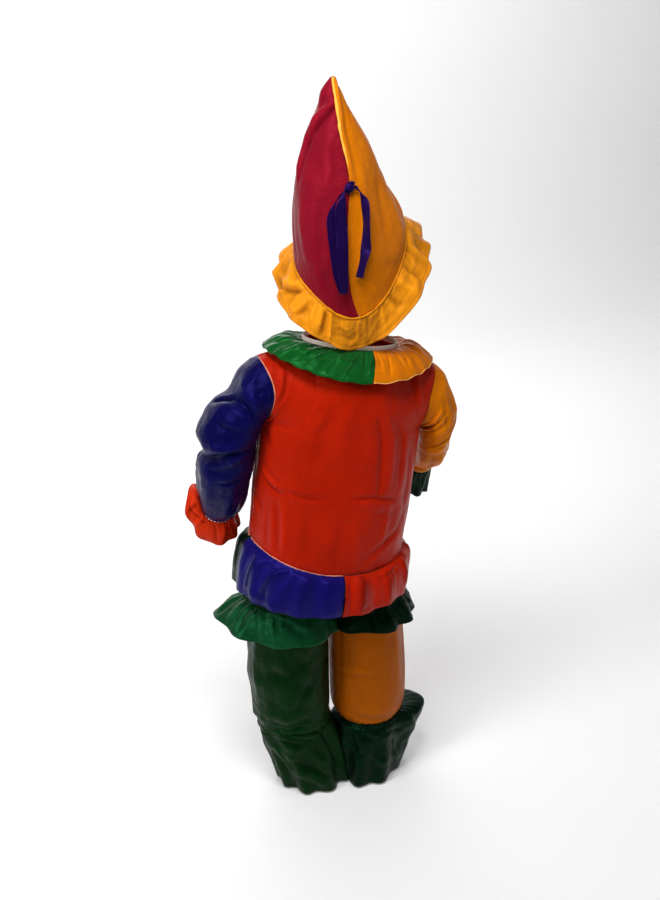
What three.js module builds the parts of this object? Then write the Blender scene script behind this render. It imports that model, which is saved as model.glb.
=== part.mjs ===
import * as THREE from 'three';
import { mergeVertices } from 'three/addons/utils/BufferGeometryUtils.js';

// A child's clown costume as it is worn: hooded cone hat, tunic with collar and peplum, trousers.
// Millimetres. X runs to the wearer's right, Y to the front and Z up.
// Heights are measured from the level that the ankle ruffles reach. The last lines move the
// whole costume so that the middle of the neck opening is the origin.

// Cloth
const CLOTH = 1.5;
const SEAM = 0.3;
const HALF_SEAM = SEAM / 2;
const SATIN = 0.55;
const RIBBON_SATIN = 0.4;
// Share of a wall over which its slope is taken, and steps in which a level is looked for.
const NEARBY = 1e-4;
const SEARCH_STEP = 0.01;

// The tunic leans to the wearer's right over the hips. Its own x, y, height are measured
// from the middle of the waist seam.
const WAIST = { x: -41, z: 543, lean: 7 };
const BODY_FULLNESS = 0.9;
const BACK_SEAM_DROP = 29;
const FRONT_SEAM_DROP = 8;
const UNDERARM = 232;
const ARMHOLE = { middle: 289, high: 57, deep: 60, at: 151, shoulder: 17, hollow: 4 };
const NECK = { half: 89, deep: 65, height: 377, share: 0.5 };
const BINDING = { height: 10.6, wall: 1.8, lift: 0.4 };

// Collar
const COLLAR = { inner: 0.9, half: 159, back: 119, front: 117, side: 363, backDrop: 28, frontDrop: 14 };
const COLLAR_RISE = { start: 3, crown: 5, shoulder: 8 };
const COLLAR_WAVES = { count: 24, edge: 1.6 };
// The seams between its halves, at the neck, and how far they have turned at the outer edge.
const COLLAR_SEAM = { at: -76, twist: -11 };

// Peplum
const PEPLUM = { side: 103, back: 78, waves: 18, rise: 2.5 };
const PEPLUM_HITCH = { at: -42, spread: 40, size: 16 };
const peplumLobes = [
  { at: 20, spread: 28.6, size: 9 },
  { at: 150, spread: 22.9, size: 5 },
];

// Trousers
const TROUSER_RINGS = { left: 158, right: 140 };
const LEG_CLEARANCE = 0.5;
const ANKLE_LINE_SHIFT = 26;
const ANKLE_FLAP_RISE = 0.55;
const CASING = { bottom: 619, top: 646, half: 117, deep: 86, wall: 2.4 };

// Hat
const HAT_TURN = -7;
const HAT_RUFFLE = { length: 64, waves: 16, lift: 0.5, side: 0.2, roll: 0.2 };
// The ruffle is shorter behind the left of the neck, where it meets the collar, and longer
// behind its right.
const hatHitches = [
  { at: 245, spread: 30, share: 0.03 },
  { at: 303, spread: 15, share: -0.14 },
];
// Where the hat's opening rises beside its lowest point.
const hatLifts = [
  { at: 222, spread: 30, rise: 14, rows: 2.2 },
  { at: -42, spread: 26, rise: 6, rows: 1.6 },
];
const RIBBON_WALL = 1.2;
const KNOT = { x: -21, z: 1203, half: 9, high: 10, deep: 6, gap: 1.6 };

const COLOURS = {
  crimson: 0xa8213a,
  golden: 0xe08f22,
  ruffleYellow: 0xf0a631,
  navy: 0x1d1463,
  orangeRed: 0xc02d0e,
  green: 0x1c7a37,
  darkGreen: 0x0f3f1f,
  blue: 0x211b86,
  ochre: 0xc4790f,
  coral: 0xd8431c,
  offWhite: 0xd9cfc0,
};

// Body of the tunic, a row for each level above the waist seam.
const bodySections = [
  { height: 0, half: 147, back: 122, front: 104, drop: 1 },
  { height: 44, half: 149, back: 121, front: 105, drop: 0.7 },
  { height: 90, half: 151, back: 118, front: 106, drop: 0.4 },
  { height: 138, half: 151.5, back: 115, front: 107, drop: 0.15 },
  { height: 186, half: 151.5, back: 112, front: 106, drop: 0 },
  { height: UNDERARM, half: 151, back: 109, front: 104, drop: 0 },
];
const UPPER_ROWS = 6;
const SNAP = 1e-6;
// The panels above the underarm, by the share of the armhole that has been passed.
const upperSections = [
  { climb: 0, height: UNDERARM, back: 109, front: 104 },
  { climb: 0.33, height: 281, back: 108, front: 103 },
  { climb: 0.67, height: 330, back: 100, front: 96 },
  { climb: 0.83, height: 354, back: 89, front: 86 },
  { climb: 1, height: 377, back: 65, front: 65 },
];
const TOP_SETTLE = 2.5;

// Long soft folds of the tunic: place across the panel, width, middle height, reach and depth.
const backFolds = [
  { at: -0.62, width: 0.16, height: 40, reach: 70, depth: 5 },
  { at: 0.66, width: 0.15, height: 130, reach: 90, depth: 5 },
  { at: 0.3, width: 0.18, height: 20, reach: 50, depth: 3 },
  { at: -0.2, width: 0.2, height: 180, reach: 60, depth: 3 },
];
const frontFolds = [
  { at: -0.55, width: 0.2, height: 70, reach: 80, depth: 5 },
  { at: 0.5, width: 0.2, height: 110, reach: 80, depth: 5 },
];

// Sleeves: the outer and the underarm end of each ring, its place and half depth from front
// to back, and how far it swings forward in degrees. The armhole is the ring before the first.
const leftSleeve = [
  { outX: -195, outZ: 886, inX: -166.5, inZ: 784, y: 0, deep: 61, swing: 0 },
  { outX: -217, outZ: 848, inX: -168.5, inZ: 775, y: 0, deep: 62, swing: 0 },
  { outX: -248, outZ: 829, inX: -170.5, inZ: 765, y: 0, deep: 64, swing: 0 },
  { outX: -268, outZ: 800, inX: -172, inZ: 753, y: 2, deep: 64, swing: 3 },
  { outX: -281, outZ: 770, inX: -173.5, inZ: 740, y: 4, deep: 62, swing: 6 },
  { outX: -266, outZ: 738, inX: -175.5, inZ: 725, y: 8, deep: 57, swing: 9 },
  { outX: -279, outZ: 713, inX: -178, inZ: 704, y: 14, deep: 58, swing: 12 },
  { outX: -282, outZ: 688, inX: -182, inZ: 682, y: 22, deep: 57, swing: 15 },
  { outX: -279, outZ: 651, inX: -184, inZ: 647, y: 36, deep: 53, swing: 20 },
  { outX: -270, outZ: 617, inX: -191, inZ: 616, y: 50, deep: 43, swing: 26 },
  { outX: -264, outZ: 598, inX: -205, inZ: 598, y: 58, deep: 31, swing: 30 },
];
const rightSleeve = [
  { outX: 185, outZ: 853, inX: 140.5, inZ: 749, y: 0, deep: 61, swing: 0 },
  { outX: 196, outZ: 829, inX: 143, inZ: 741, y: 0, deep: 62, swing: 0 },
  { outX: 208, outZ: 803, inX: 145, inZ: 732, y: 1, deep: 63, swing: 0 },
  { outX: 213, outZ: 779, inX: 147, inZ: 721, y: 4, deep: 62, swing: 4 },
  { outX: 212, outZ: 757, inX: 148, inZ: 709, y: 9, deep: 60, swing: 9 },
  { outX: 206, outZ: 738, inX: 147.5, inZ: 697, y: 15, deep: 57, swing: 14 },
  { outX: 214, outZ: 713, inX: 147, inZ: 684, y: 24, deep: 56, swing: 19 },
  { outX: 216, outZ: 696, inX: 147.5, inZ: 674, y: 34, deep: 51, swing: 24 },
  { outX: 208, outZ: 675, inX: 148, inZ: 664, y: 46, deep: 41, swing: 28 },
  { outX: 200, outZ: 658, inX: 149, inZ: 655, y: 56, deep: 28, swing: 30 },
];
const SLEEVE_GATHERS = { count: 6, depth: 3.5, from: 0.55 };
const CUFF_BAND = { length: 12, bulge: 2 };
const FRILL_WAVES = { cuff: 8, knee: 9, ankle: 9 };

// Profile of each frill: distance along it, share that goes outward, and depth of its waves.
const cuffProfile = [
  { down: 0, out: 0, wave: 0 },
  { down: 10, out: 9, wave: 1 },
  { down: 26, out: 18, wave: 2.2 },
  { down: 42, out: 23, wave: 3.4 },
];
const cuffRuffles = {
  left: { flare: 0.9, length: 1, flapAt: 40, flap: 16, lift: 58, inner: 9 },
  right: { flare: 0.12, length: 1.72, flapAt: 0, flap: 0, lift: 0, inner: 0 },
};
const peplumProfile = [
  { down: 0, out: 0.4, wave: 0 },
  { down: 0.12, out: 12, wave: 1.5 },
  { down: 0.34, out: 18, wave: 2.4 },
  { down: 0.66, out: 20, wave: 3 },
  { down: 1, out: 19, wave: 3.6 },
];
const kneeProfile = [
  { down: 0, out: 0, wave: 0 },
  { down: 14, out: 6, wave: 2 },
  { down: 34, out: 17, wave: 4 },
  { down: 58, out: 25, wave: 6 },
];
const ankleProfile = [
  { down: 0, out: 0, wave: 0 },
  { down: 0.14, out: 9, wave: 2.5 },
  { down: 0.5, out: 12, wave: 5 },
  { down: 1, out: 12, wave: 8 },
];

// Trouser legs from the ankle up. mid is the line between the legs, out the leg's middle from
// it, and hip how far the ring has turned from a leg into half of the hips.
const trouserSections = [
  { height: 0, mid: -32, outLeft: 76, outRight: 80, half: 62, deep: 62, hip: 0 },
  { height: 0.06, mid: -32, outLeft: 82, outRight: 80, half: 74, deep: 74, hip: 0 },
  { height: 0.2, mid: -32, outLeft: 85, outRight: 79, half: 76, deep: 78, hip: 0 },
  { height: 0.38, mid: -33, outLeft: 84, outRight: 75, half: 74, deep: 80, hip: 0 },
  { height: 0.56, mid: -37, outLeft: 80, outRight: 73, half: 71, deep: 80, hip: 0 },
  { height: 0.68, mid: -40, outLeft: 76, outRight: 72, half: 70, deep: 82, hip: 0 },
  { height: 0.78, mid: -42, outLeft: 72, outRight: 71, half: 69, deep: 84, hip: 0.5 },
  { height: 0.87, mid: -41, outLeft: 72, outRight: 71, half: 69, deep: 84, hip: 1 },
  { height: 0.94, mid: -36, outLeft: 72, outRight: 71, half: 69, deep: 84, hip: 1 },
  { height: 1, mid: -32, outLeft: 72, outRight: 71, half: 69, deep: 84, hip: 1 },
];
const LEFT_LEG_EXTRA = 3;
const hipSections = [
  { row: 0, half: 139, deep: 98.5 },
  { row: 7, half: 139, deep: 102.1 },
  { row: 8, half: 131, deep: 99.1 },
  { row: 9, half: CASING.half, deep: CASING.deep },
];

// Frills of the trousers: level of the seam, length, flap that stands out and where.
const kneeRuffles = {
  left: { seam: 428, ring: 80, flapAt: 172, flap: 38, lift: 22, spread: 3, ease: 0 },
  right: { seam: 432, ring: 80, flapAt: 5, flap: 4, lift: 0, spread: 3, ease: 0.9 },
};
const ankleRuffles = {
  left: { flapAt: 195, flap: 11, spread: 3, shift: 42, narrow: 8, hem: 5 },
  right: { flapAt: 8, flap: 62, spread: 5, shift: 10, narrow: 0, hem: 5 },
};

// Hat from the opening up. side is the height at the ears, tip how far the ring rises from back
// to front, arch how much it bows up at the sides, roll how much its right side is raised and
// seam how far the back seam has turned to the right.
const hatSections = [
  { side: 1091, x: 5, half: 98, back: 88, front: 92, tip: 75, arch: 31, roll: 28, seam: -1 },
  { side: 1120, x: 3, half: 97, back: 92, front: 92, tip: 66, arch: 26, roll: 24, seam: -8 },
  { side: 1150, x: -5, half: 90, back: 92, front: 88, tip: 56, arch: 21, roll: 20, seam: -7.5 },
  { side: 1180, x: -13, half: 81, back: 86, front: 80, tip: 46, arch: 16, roll: 16, seam: -3 },
  { side: 1210, x: -17, half: 73, back: 76, front: 70, tip: 37, arch: 11, roll: 12, seam: 2 },
  { side: 1240, x: -20, half: 65, back: 66, front: 60, tip: 29, arch: 7, roll: 9, seam: 9 },
  { side: 1270, x: -21, half: 52.5, back: 53, front: 49, tip: 22, arch: 4, roll: 6, seam: 6.5 },
  { side: 1300, x: -26, half: 40, back: 40, front: 38, tip: 15, arch: 2, roll: 4, seam: 5.5 },
  { side: 1328, x: -27.5, half: 25, back: 25, front: 24, tip: 9, arch: 0, roll: 2, seam: 7 },
  { side: 1352, x: -29.5, half: 16.5, back: 15, front: 15, tip: 4, arch: 0, roll: 0, seam: 8 },
  { side: 1373, x: -28, half: 4, back: 4, front: 4, tip: 0, arch: 0, roll: 0, seam: 0 },
];
const hatDents = [
  { at: 215, spread: 26, row: 7.2, reach: 1.6, depth: 6 },
  { at: 250, spread: 18, row: 3, reach: 2, depth: 3 },
  { at: -40, spread: 20, row: 3.5, reach: 2.2, depth: 3 },
  { at: 30, spread: 24, row: 6, reach: 2, depth: 4 },
];
// How the hat's ruffle falls, by the angle round the opening from the back.
const hatRuffleFall = [
  { from: 0, out: -0.33, down: 0.94, wave: 0.5 },
  { from: 22, out: -0.1, down: 0.98, wave: 2.5 },
  { from: 45, out: 0.38, down: 0.88, wave: 5 },
  { from: 90, out: 0.6, down: 0.74, wave: 5 },
  { from: 135, out: 0.84, down: 0.5, wave: 8 },
  { from: 180, out: 0.97, down: 0.2, wave: 7 },
];

// Ribbon tie: the middle of the strip, its distance behind the hat, its width, how far it is
// turned on edge and how far its width leans.
const loopPath = [
  { x: -31.5, z: 1200, off: 8.5, width: 10, turn: 0, lean: 64 },
  { x: -36, z: 1191, off: 10, width: 14, turn: 0, lean: 50 },
  { x: -39, z: 1180, off: 11, width: 18, turn: 0, lean: 25 },
  { x: -41, z: 1160, off: 11, width: 20, turn: 0, lean: 5 },
  { x: -41, z: 1130, off: 10, width: 20, turn: 8, lean: 0 },
  { x: -41, z: 1095, off: 10, width: 20, turn: -6, lean: 0 },
  { x: -41, z: 1062, off: 9.5, width: 18, turn: 0, lean: 0 },
  { x: -39, z: 1040, off: 9, width: 14, turn: 0, lean: 0 },
  { x: -38.5, z: 1033, off: 8.4, width: 12, turn: 0, lean: 0 },
  { x: -39, z: 1030, off: 6, width: 12, turn: 0, lean: 0 },
  { x: -40, z: 1033, off: 3.6, width: 12, turn: 0, lean: 0 },
  { x: -43, z: 1042, off: 3.2, width: 14, turn: 0, lean: 0 },
  { x: -49, z: 1070, off: 3, width: 18, turn: 0, lean: 0 },
  { x: -53, z: 1110, off: 3, width: 18, turn: 0, lean: 0 },
  { x: -56, z: 1145, off: 3, width: 16, turn: 0, lean: 0 },
  { x: -53, z: 1168, off: 3, width: 13, turn: 0, lean: 30 },
  { x: -44, z: 1183, off: 3.2, width: 10, turn: 0, lean: 55 },
  { x: -34, z: 1192, off: 3.2, width: 8, turn: 0, lean: 66 },
];
const tailPath = [
  { x: -11.5, z: 1203, off: 7.4, width: 8, turn: 0, lean: -75 },
  { x: -4.5, z: 1198, off: 9, width: 10, turn: 10, lean: -60 },
  { x: 2, z: 1185, off: 11, width: 14, turn: 35, lean: -20 },
  { x: 3, z: 1168, off: 12, width: 18, turn: 60, lean: 0 },
  { x: 2, z: 1145, off: 13, width: 19, turn: 72, lean: 0 },
  { x: 0, z: 1120, off: 13, width: 19, turn: 60, lean: 0 },
  { x: -1, z: 1104, off: 12, width: 19, turn: 42, lean: 0 },
  { x: -6, z: 1086, off: 12, width: 18, turn: 65, lean: 0 },
  { x: -14, z: 1058, off: 12, width: 16, turn: 60, lean: 0 },
];

const radians = THREE.MathUtils.degToRad;

// Value of a table's column at a fractional row.
function atRow(rows, place, column) {
  const low = Math.min(Math.max(Math.floor(place), 0), rows.length - 2);
  const part = place - low;
  return rows[low][column] + (rows[low + 1][column] - rows[low][column]) * part;
}

// Value of a column where another column, which rises, has the given value.
function lookUp(rows, key, value, column) {
  let low = 0;
  while (low < rows.length - 2 && rows[low + 1][key] < value) low += 1;
  const part = (value - rows[low][key]) / (rows[low + 1][key] - rows[low][key]);
  return rows[low][column] + (rows[low + 1][column] - rows[low][column]) * part;
}

function bell(distance, width) {
  return Math.exp(-(distance * distance) / (width * width));
}

// Smallest angle from one turn to another.
function turnApart(turn, other) {
  return Math.atan2(Math.sin(turn - other), Math.cos(turn - other));
}

function fullPower(value) {
  return Math.sign(value) * Math.pow(Math.abs(value), BODY_FULLNESS);
}

// Uneven waves round a frill.
function flute(turn, count, seed) {
  const drift = 0.55 * Math.sin(3 * turn + seed) + 0.3 * Math.sin(5 * turn + 2 * seed);
  const strength = 0.8 + 0.2 * Math.sin(2 * turn + 1.7 * seed);
  return strength * Math.sin(count * turn + drift + seed);
}

// A point of the leaning tunic.
function tunicPoint(x, y, height) {
  const lean = radians(WAIST.lean);
  return new THREE.Vector3(
    WAIST.x + x * Math.cos(lean) + height * Math.sin(lean),
    y,
    WAIST.z - x * Math.sin(lean) + height * Math.cos(lean),
  );
}

function material(colour, roughness) {
  return new THREE.MeshStandardMaterial({ color: colour, roughness, metalness: 0 });
}

function closedMesh(name, colour, roughness, positions, faces) {
  let volume = 0;
  const corner = [new THREE.Vector3(), new THREE.Vector3(), new THREE.Vector3()];
  for (let i = 0; i < faces.length; i += 3) {
    corner.forEach((point, k) => point.fromArray(positions, faces[i + k] * 3));
    volume += corner[0].dot(corner[1].cross(corner[2]));
  }
  if (volume < 0) faces.reverse();
  const geometry = new THREE.BufferGeometry();
  geometry.setAttribute('position', new THREE.Float32BufferAttribute(positions, 3));
  geometry.setIndex(faces);
  geometry.computeVertexNormals();
  const mesh = new THREE.Mesh(geometry, material(colour, roughness));
  mesh.name = name;
  return mesh;
}

// A cloth wall: the outer points come from surface(u, v), the inner ones lie one thickness
// behind them, and rims close the edges. A ring joins its last column to its first.
// tuck changes the step from an outer point to its inner one, to mitre a seam.
function clothWall(settings, surface) {
  const { name, colour, columns, rows, tuck } = settings;
  const { roughness = SATIN, ring = false, wall = CLOTH, inward = 1 } = settings;
  const wide = ring ? columns : columns + 1;
  const outer = [];
  const inner = [];
  for (let r = 0; r <= rows; r += 1) {
    for (let c = 0; c < wide; c += 1) {
      const u = c / columns;
      const v = r / rows;
      const before = ring ? u - NEARBY : Math.max(u - NEARBY, 0);
      const after = ring ? u + NEARBY : Math.min(u + NEARBY, 1);
      const across = surface(after, v).sub(surface(before, v));
      const along = surface(u, Math.min(v + NEARBY, 1)).sub(surface(u, Math.max(v - NEARBY, 0)));
      const normal = across.cross(along).normalize();
      const point = surface(u, v);
      const behind = normal.multiplyScalar(-inward * wall);
      if (tuck) tuck(behind, u, v, point);
      outer.push(...point.toArray());
      inner.push(...point.add(behind).toArray());
    }
  }
  const offset = outer.length / 3;
  const at = (r, c) => r * wide + (c % wide);
  const faces = [];
  const quad = (a, b, c, d) => faces.push(a, b, c, a, c, d);
  for (let c = 0; c < columns; c += 1) {
    for (let r = 0; r < rows; r += 1) {
      const [p, q, s, t] = [at(r, c), at(r, c + 1), at(r + 1, c + 1), at(r + 1, c)];
      quad(p, q, s, t);
      quad(p + offset, t + offset, s + offset, q + offset);
    }
    const [first, second] = [at(0, c), at(0, c + 1)];
    quad(second, first, first + offset, second + offset);
    const [third, fourth] = [at(rows, c), at(rows, c + 1)];
    quad(third, fourth, fourth + offset, third + offset);
  }
  if (!ring) {
    for (let r = 0; r < rows; r += 1) {
      quad(at(r, 0), at(r + 1, 0), at(r + 1, 0) + offset, at(r, 0) + offset);
      quad(at(r + 1, columns), at(r, columns), at(r, columns) + offset, at(r + 1, columns) + offset);
    }
  }
  return closedMesh(name, colour, roughness, [...outer, ...inner], faces);
}

// TUNIC

// Depth of the panel's folds at a place across and up.
function foldDepth(folds, across, height) {
  return folds.reduce((sum, fold) => (
    sum + fold.depth * bell(across - fold.at, fold.width) * bell(height - fold.height, fold.reach)
  ), 0);
}

// side is -1 for the back panel and 1 for the front one, across runs from -1 to 1.
function bodyRow(side, across, place) {
  const angle = across * Math.PI / 2;
  const height = atRow(bodySections, place, 'height');
  const half = atRow(bodySections, place, 'half');
  const deep = atRow(bodySections, place, side < 0 ? 'back' : 'front');
  const drop = atRow(bodySections, place, 'drop') * (side < 0 ? BACK_SEAM_DROP : FRONT_SEAM_DROP);
  const fold = foldDepth(side < 0 ? backFolds : frontFolds, across, height);
  const pulled = deep - fold * Math.cos(angle);
  return new THREE.Vector3(
    half * fullPower(Math.sin(angle)),
    side * (pulled * fullPower(Math.cos(angle)) + HALF_SEAM),
    height - drop * Math.cos(angle) ** 2,
  );
}

// The armhole on one side: turn runs from the underarm over the back or front to the shoulder.
function armhole(hand, side, turn, outward) {
  const high = Math.sin(turn);
  const shoulder = ARMHOLE.shoulder * Math.max(0, high) ** 1.5;
  const x = ARMHOLE.at + shoulder - ARMHOLE.hollow * Math.cos(turn) ** 2;
  return new THREE.Vector3(
    hand * (x + outward),
    side * (ARMHOLE.deep * Math.cos(turn) + HALF_SEAM),
    ARMHOLE.middle + ARMHOLE.high * high,
  );
}

// Shoulder seams and neckline in one line across the top of a panel.
function topLine(side, across) {
  const reach = Math.abs(across);
  if (reach <= NECK.share) {
    const angle = (across / NECK.share) * Math.PI / 2;
    return new THREE.Vector3(
      NECK.half * Math.sin(angle),
      side * (NECK.deep * Math.cos(angle) + HALF_SEAM),
      NECK.height,
    );
  }
  const part = (reach - NECK.share) / (1 - NECK.share);
  const end = armhole(1, side, Math.PI / 2, 0);
  return new THREE.Vector3(
    Math.sign(across) * (NECK.half + (end.x - NECK.half) * part),
    side * HALF_SEAM,
    NECK.height + (end.z - NECK.height) * part ** 1.2,
  );
}

// A row above the underarm: an arc between the armholes, deepest at the middle of the panel.
function upperArc(side, across, climb) {
  const edge = armhole(1, side, -Math.PI / 2 + Math.PI * climb, 0);
  const deep = lookUp(upperSections, 'climb', climb, side < 0 ? 'back' : 'front');
  const middle = lookUp(upperSections, 'climb', climb, 'height');
  const widest = Math.acos(Math.min(1, (Math.abs(edge.y) - HALF_SEAM) / deep));
  const angle = across * widest;
  return new THREE.Vector3(
    edge.x * fullPower(Math.sin(angle)) / fullPower(Math.sin(widest)),
    side * (deep * Math.cos(angle) + HALF_SEAM),
    edge.z + (middle - edge.z) * Math.cos(across * Math.PI / 2) ** 2,
  );
}

function upperPanel(side, across, climb) {
  const point = upperArc(side, across, climb);
  const settle = topLine(side, across).sub(upperArc(side, across, 1));
  return point.addScaledVector(settle, climb ** TOP_SETTLE);
}

function panel(side, name, columns) {
  const lower = bodySections.length - 1;
  const rows = lower + UPPER_ROWS;
  const mitre = (behind, u, v, point) => {
    behind.y = side * Math.max(side * (point.y + behind.y), HALF_SEAM) - point.y;
  };
  const settings = { name, colour: COLOURS.orangeRed, columns, rows, inward: -side, tuck: mitre };
  return clothWall(settings, (u, v) => {
    const across = 2 * u - 1;
    const row = v * rows;
    const point = row <= lower
      ? bodyRow(side, across, row)
      : upperPanel(side, across, (row - lower) / UPPER_ROWS);
    return tunicPoint(point.x, point.y, point.z);
  });
}

function neckBinding() {
  const from = NECK.height + BINDING.lift;
  return clothWall({
    name: 'neck_binding', colour: COLOURS.offWhite, columns: 36, rows: 1, ring: true, wall: BINDING.wall,
  }, (u, v) => {
    const turn = u * 2 * Math.PI;
    return tunicPoint(NECK.half * Math.cos(turn), NECK.deep * Math.sin(turn), from + v * BINDING.height);
  });
}

// turn is the angle round the neck, from the wearer's right to the front.
function collarPoint(turn, v) {
  const twisted = turn + radians(COLLAR_SEAM.twist) * v;
  const [cos, sin] = [Math.cos(twisted), Math.sin(twisted)];
  const outerDeep = sin < 0 ? COLLAR.back : COLLAR.front;
  const drop = (sin < 0 ? COLLAR.backDrop : COLLAR.frontDrop) * sin * sin;
  const innerHalf = NECK.half + COLLAR.inner;
  const innerDeep = NECK.deep + COLLAR.inner;
  const start = NECK.height + COLLAR_RISE.start;
  const crown = (COLLAR_RISE.crown + COLLAR_RISE.shoulder * cos * cos) * Math.sin(Math.PI * v);
  const height = start + (COLLAR.side - drop - start) * v + crown;
  const wave = COLLAR_WAVES.edge * v ** 1.3 * flute(turn, COLLAR_WAVES.count, 1.1);
  return tunicPoint(
    cos * (innerHalf + (COLLAR.half - innerHalf) * v),
    sin * (innerDeep + (outerDeep - innerDeep) * v),
    height + wave,
  );
}

function collarHalf(name, colour, from, to) {
  const gap = HALF_SEAM / NECK.deep;
  return clothWall({ name, colour, columns: 44, rows: 3 }, (u, v) => (
    collarPoint(radians(from) + gap + u * (radians(to - from) - 2 * gap), v)
  ));
}

// Point of a sleeve's ring: turn 0 is its outer end, 90 degrees its front.
function sleeveRing(rings, hand, place, turn) {
  if (place < 1) {
    const first = armholeRing(hand, turn);
    return first.lerp(tableRing(rings, 0, turn), place);
  }
  return tableRing(rings, place - 1, turn);
}

// The sleeve's first ring follows the straight edges of the panels' armhole, moved out by the seam.
function armholeRing(hand, turn) {
  const edge = Math.PI / UPPER_ROWS;
  const corner = (count) => {
    const angle = count * edge;
    const side = Math.sin(angle) >= 0 ? 1 : -1;
    const point = armhole(hand, side, Math.asin(Math.cos(angle)), SEAM);
    return tunicPoint(point.x, point.y - side * HALF_SEAM, point.z);
  };
  const count = Math.floor(turn / edge + SNAP);
  return corner(count).lerp(corner(count + 1), Math.max(0, turn / edge - count));
}

function tableRing(rings, place, turn) {
  const value = (column) => atRow(rings, place, column);
  const swing = radians(value('swing'));
  const outerEnd = new THREE.Vector3(value('outX'), value('y'), value('outZ'));
  const underarm = new THREE.Vector3(value('inX'), value('y'), value('inZ'));
  const outward = outerEnd.clone().sub(underarm).multiplyScalar(0.5);
  const middle = outerEnd.lerp(underarm, 0.5);
  const forward = new THREE.Vector3(0, Math.cos(swing), Math.sin(swing)).multiplyScalar(value('deep'));
  return middle.addScaledVector(outward, Math.cos(turn)).addScaledVector(forward, Math.sin(turn));
}

function sleeve(name, colour, rings, hand) {
  const rows = rings.length;
  const lean = radians(WAIST.lean);
  const away = new THREE.Vector3(hand * Math.cos(lean), 0, -hand * Math.sin(lean));
  const mitre = (behind, u, v) => {
    if (v === 0) behind.addScaledVector(away, -Math.min(0, behind.dot(away))).setLength(CLOTH);
  };
  const columns = 4 * UPPER_ROWS;
  const settings = { name, colour, columns, rows, ring: true, inward: -hand, tuck: mitre };
  return clothWall(settings, (u, v) => {
    const turn = u * 2 * Math.PI;
    const point = sleeveRing(rings, hand, v * rows, turn);
    const gathered = Math.max(0, v - SLEEVE_GATHERS.from) / (1 - SLEEVE_GATHERS.from);
    const waves = (1 + Math.cos(SLEEVE_GATHERS.count * turn)) / 2;
    const depth = SLEEVE_GATHERS.depth * Math.sin(Math.PI * gathered) * waves;
    const outerEnd = sleeveRing(rings, hand, v * rows, 0);
    const middle = outerEnd.lerp(sleeveRing(rings, hand, v * rows, Math.PI), 0.5);
    return point.lerp(middle, depth / point.distanceTo(middle));
  });
}

// Frame at the end of a sleeve: its middle, its two half axes and the way the arm points.
function cuffFrame(rings, along) {
  const last = rings.length - 1;
  const middle = tableRing(rings, last, 0).lerp(tableRing(rings, last, Math.PI), 0.5);
  const outward = tableRing(rings, last, 0).sub(middle);
  const forward = tableRing(rings, last, Math.PI / 2).sub(middle);
  const way = outward.clone().cross(forward).normalize();
  if (way.z > 0) way.negate();
  middle.addScaledVector(way, along);
  return { middle, outward, forward, way };
}

function cuffPoint(frame, turn, out, down) {
  const radial = frame.outward.clone().multiplyScalar(Math.cos(turn));
  radial.addScaledVector(frame.forward, Math.sin(turn));
  const length = radial.length();
  radial.multiplyScalar((length + out) / length);
  return frame.middle.clone().add(radial).addScaledVector(frame.way, down);
}

function cuffRuffle(name, colour, rings, hand, along, seed) {
  const frame = cuffFrame(rings, along);
  const size = hand < 0 ? cuffRuffles.left : cuffRuffles.right;
  const rows = cuffProfile.length - 1;
  return clothWall({ name, colour, columns: 36, rows, ring: true, inward: -hand }, (u, v) => {
    const turn = u * 2 * Math.PI;
    const value = (column) => atRow(cuffProfile, v * rows, column);
    const wave = value('wave') * flute(turn, FRILL_WAVES.cuff, seed);
    const flap = Math.max(0, Math.cos(turn - radians(size.flapAt))) ** 2 * v ** 0.7;
    const inner = size.inner * v * Math.max(0, -Math.cos(turn));
    const out = value('out') * size.flare + wave + size.flap * flap - inner;
    return cuffPoint(frame, turn, out, value('down') * size.length - size.lift * flap);
  });
}

function cuffBand(name, colour, rings, hand) {
  const frame = cuffFrame(rings, SEAM);
  return clothWall({ name, colour, columns: 24, rows: 2, ring: true, inward: -hand }, (u, v) => (
    cuffPoint(frame, u * 2 * Math.PI, CUFF_BAND.bulge * Math.sin(Math.PI * v), v * CUFF_BAND.length)
  ));
}

// PEPLUM

function waistSeam(turn) {
  const [cos, sin] = [Math.cos(turn), Math.sin(turn)];
  const section = bodySections[0];
  const deep = sin < 0 ? section.back : section.front;
  const drop = sin < 0 ? BACK_SEAM_DROP : FRONT_SEAM_DROP;
  const level = -drop * sin * sin - SEAM;
  return new THREE.Vector3(section.half * fullPower(cos), deep * fullPower(sin), level);
}

function peplumQuarter(name, colour, from, seed) {
  const rows = peplumProfile.length - 1;
  const gap = HALF_SEAM / bodySections[0].front;
  return clothWall({ name, colour, columns: 18, rows }, (u, v) => {
    const turn = radians(from) + gap + u * (Math.PI / 2 - 2 * gap);
    const [cos, sin] = [Math.cos(turn), Math.sin(turn)];
    const value = (column) => atRow(peplumProfile, v * rows, column);
    const hitch = PEPLUM_HITCH.size * bell(
      turnApart(turn, radians(PEPLUM_HITCH.at)), radians(PEPLUM_HITCH.spread),
    );
    const length = PEPLUM.side - (sin < 0 ? PEPLUM.side - PEPLUM.back : 0) * sin * sin - hitch;
    const lobe = peplumLobes.reduce((sum, each) => (
      sum + each.size * bell(turn - radians(each.at), radians(each.spread))
    ), 0);
    const stand = Math.min(1, PEPLUM.rise * v);
    const out = value('out') + stand * lobe + value('wave') * flute(turn, PEPLUM.waves, seed);
    const seam = waistSeam(turn);
    return tunicPoint(seam.x + cos * out, seam.y + sin * out, seam.z - value('down') * length);
  });
}

// TROUSERS

function trouserLevel(hand, share) {
  const bottom = hand < 0 ? TROUSER_RINGS.left : TROUSER_RINGS.right;
  return bottom + (CASING.bottom - bottom) * share;
}

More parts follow.
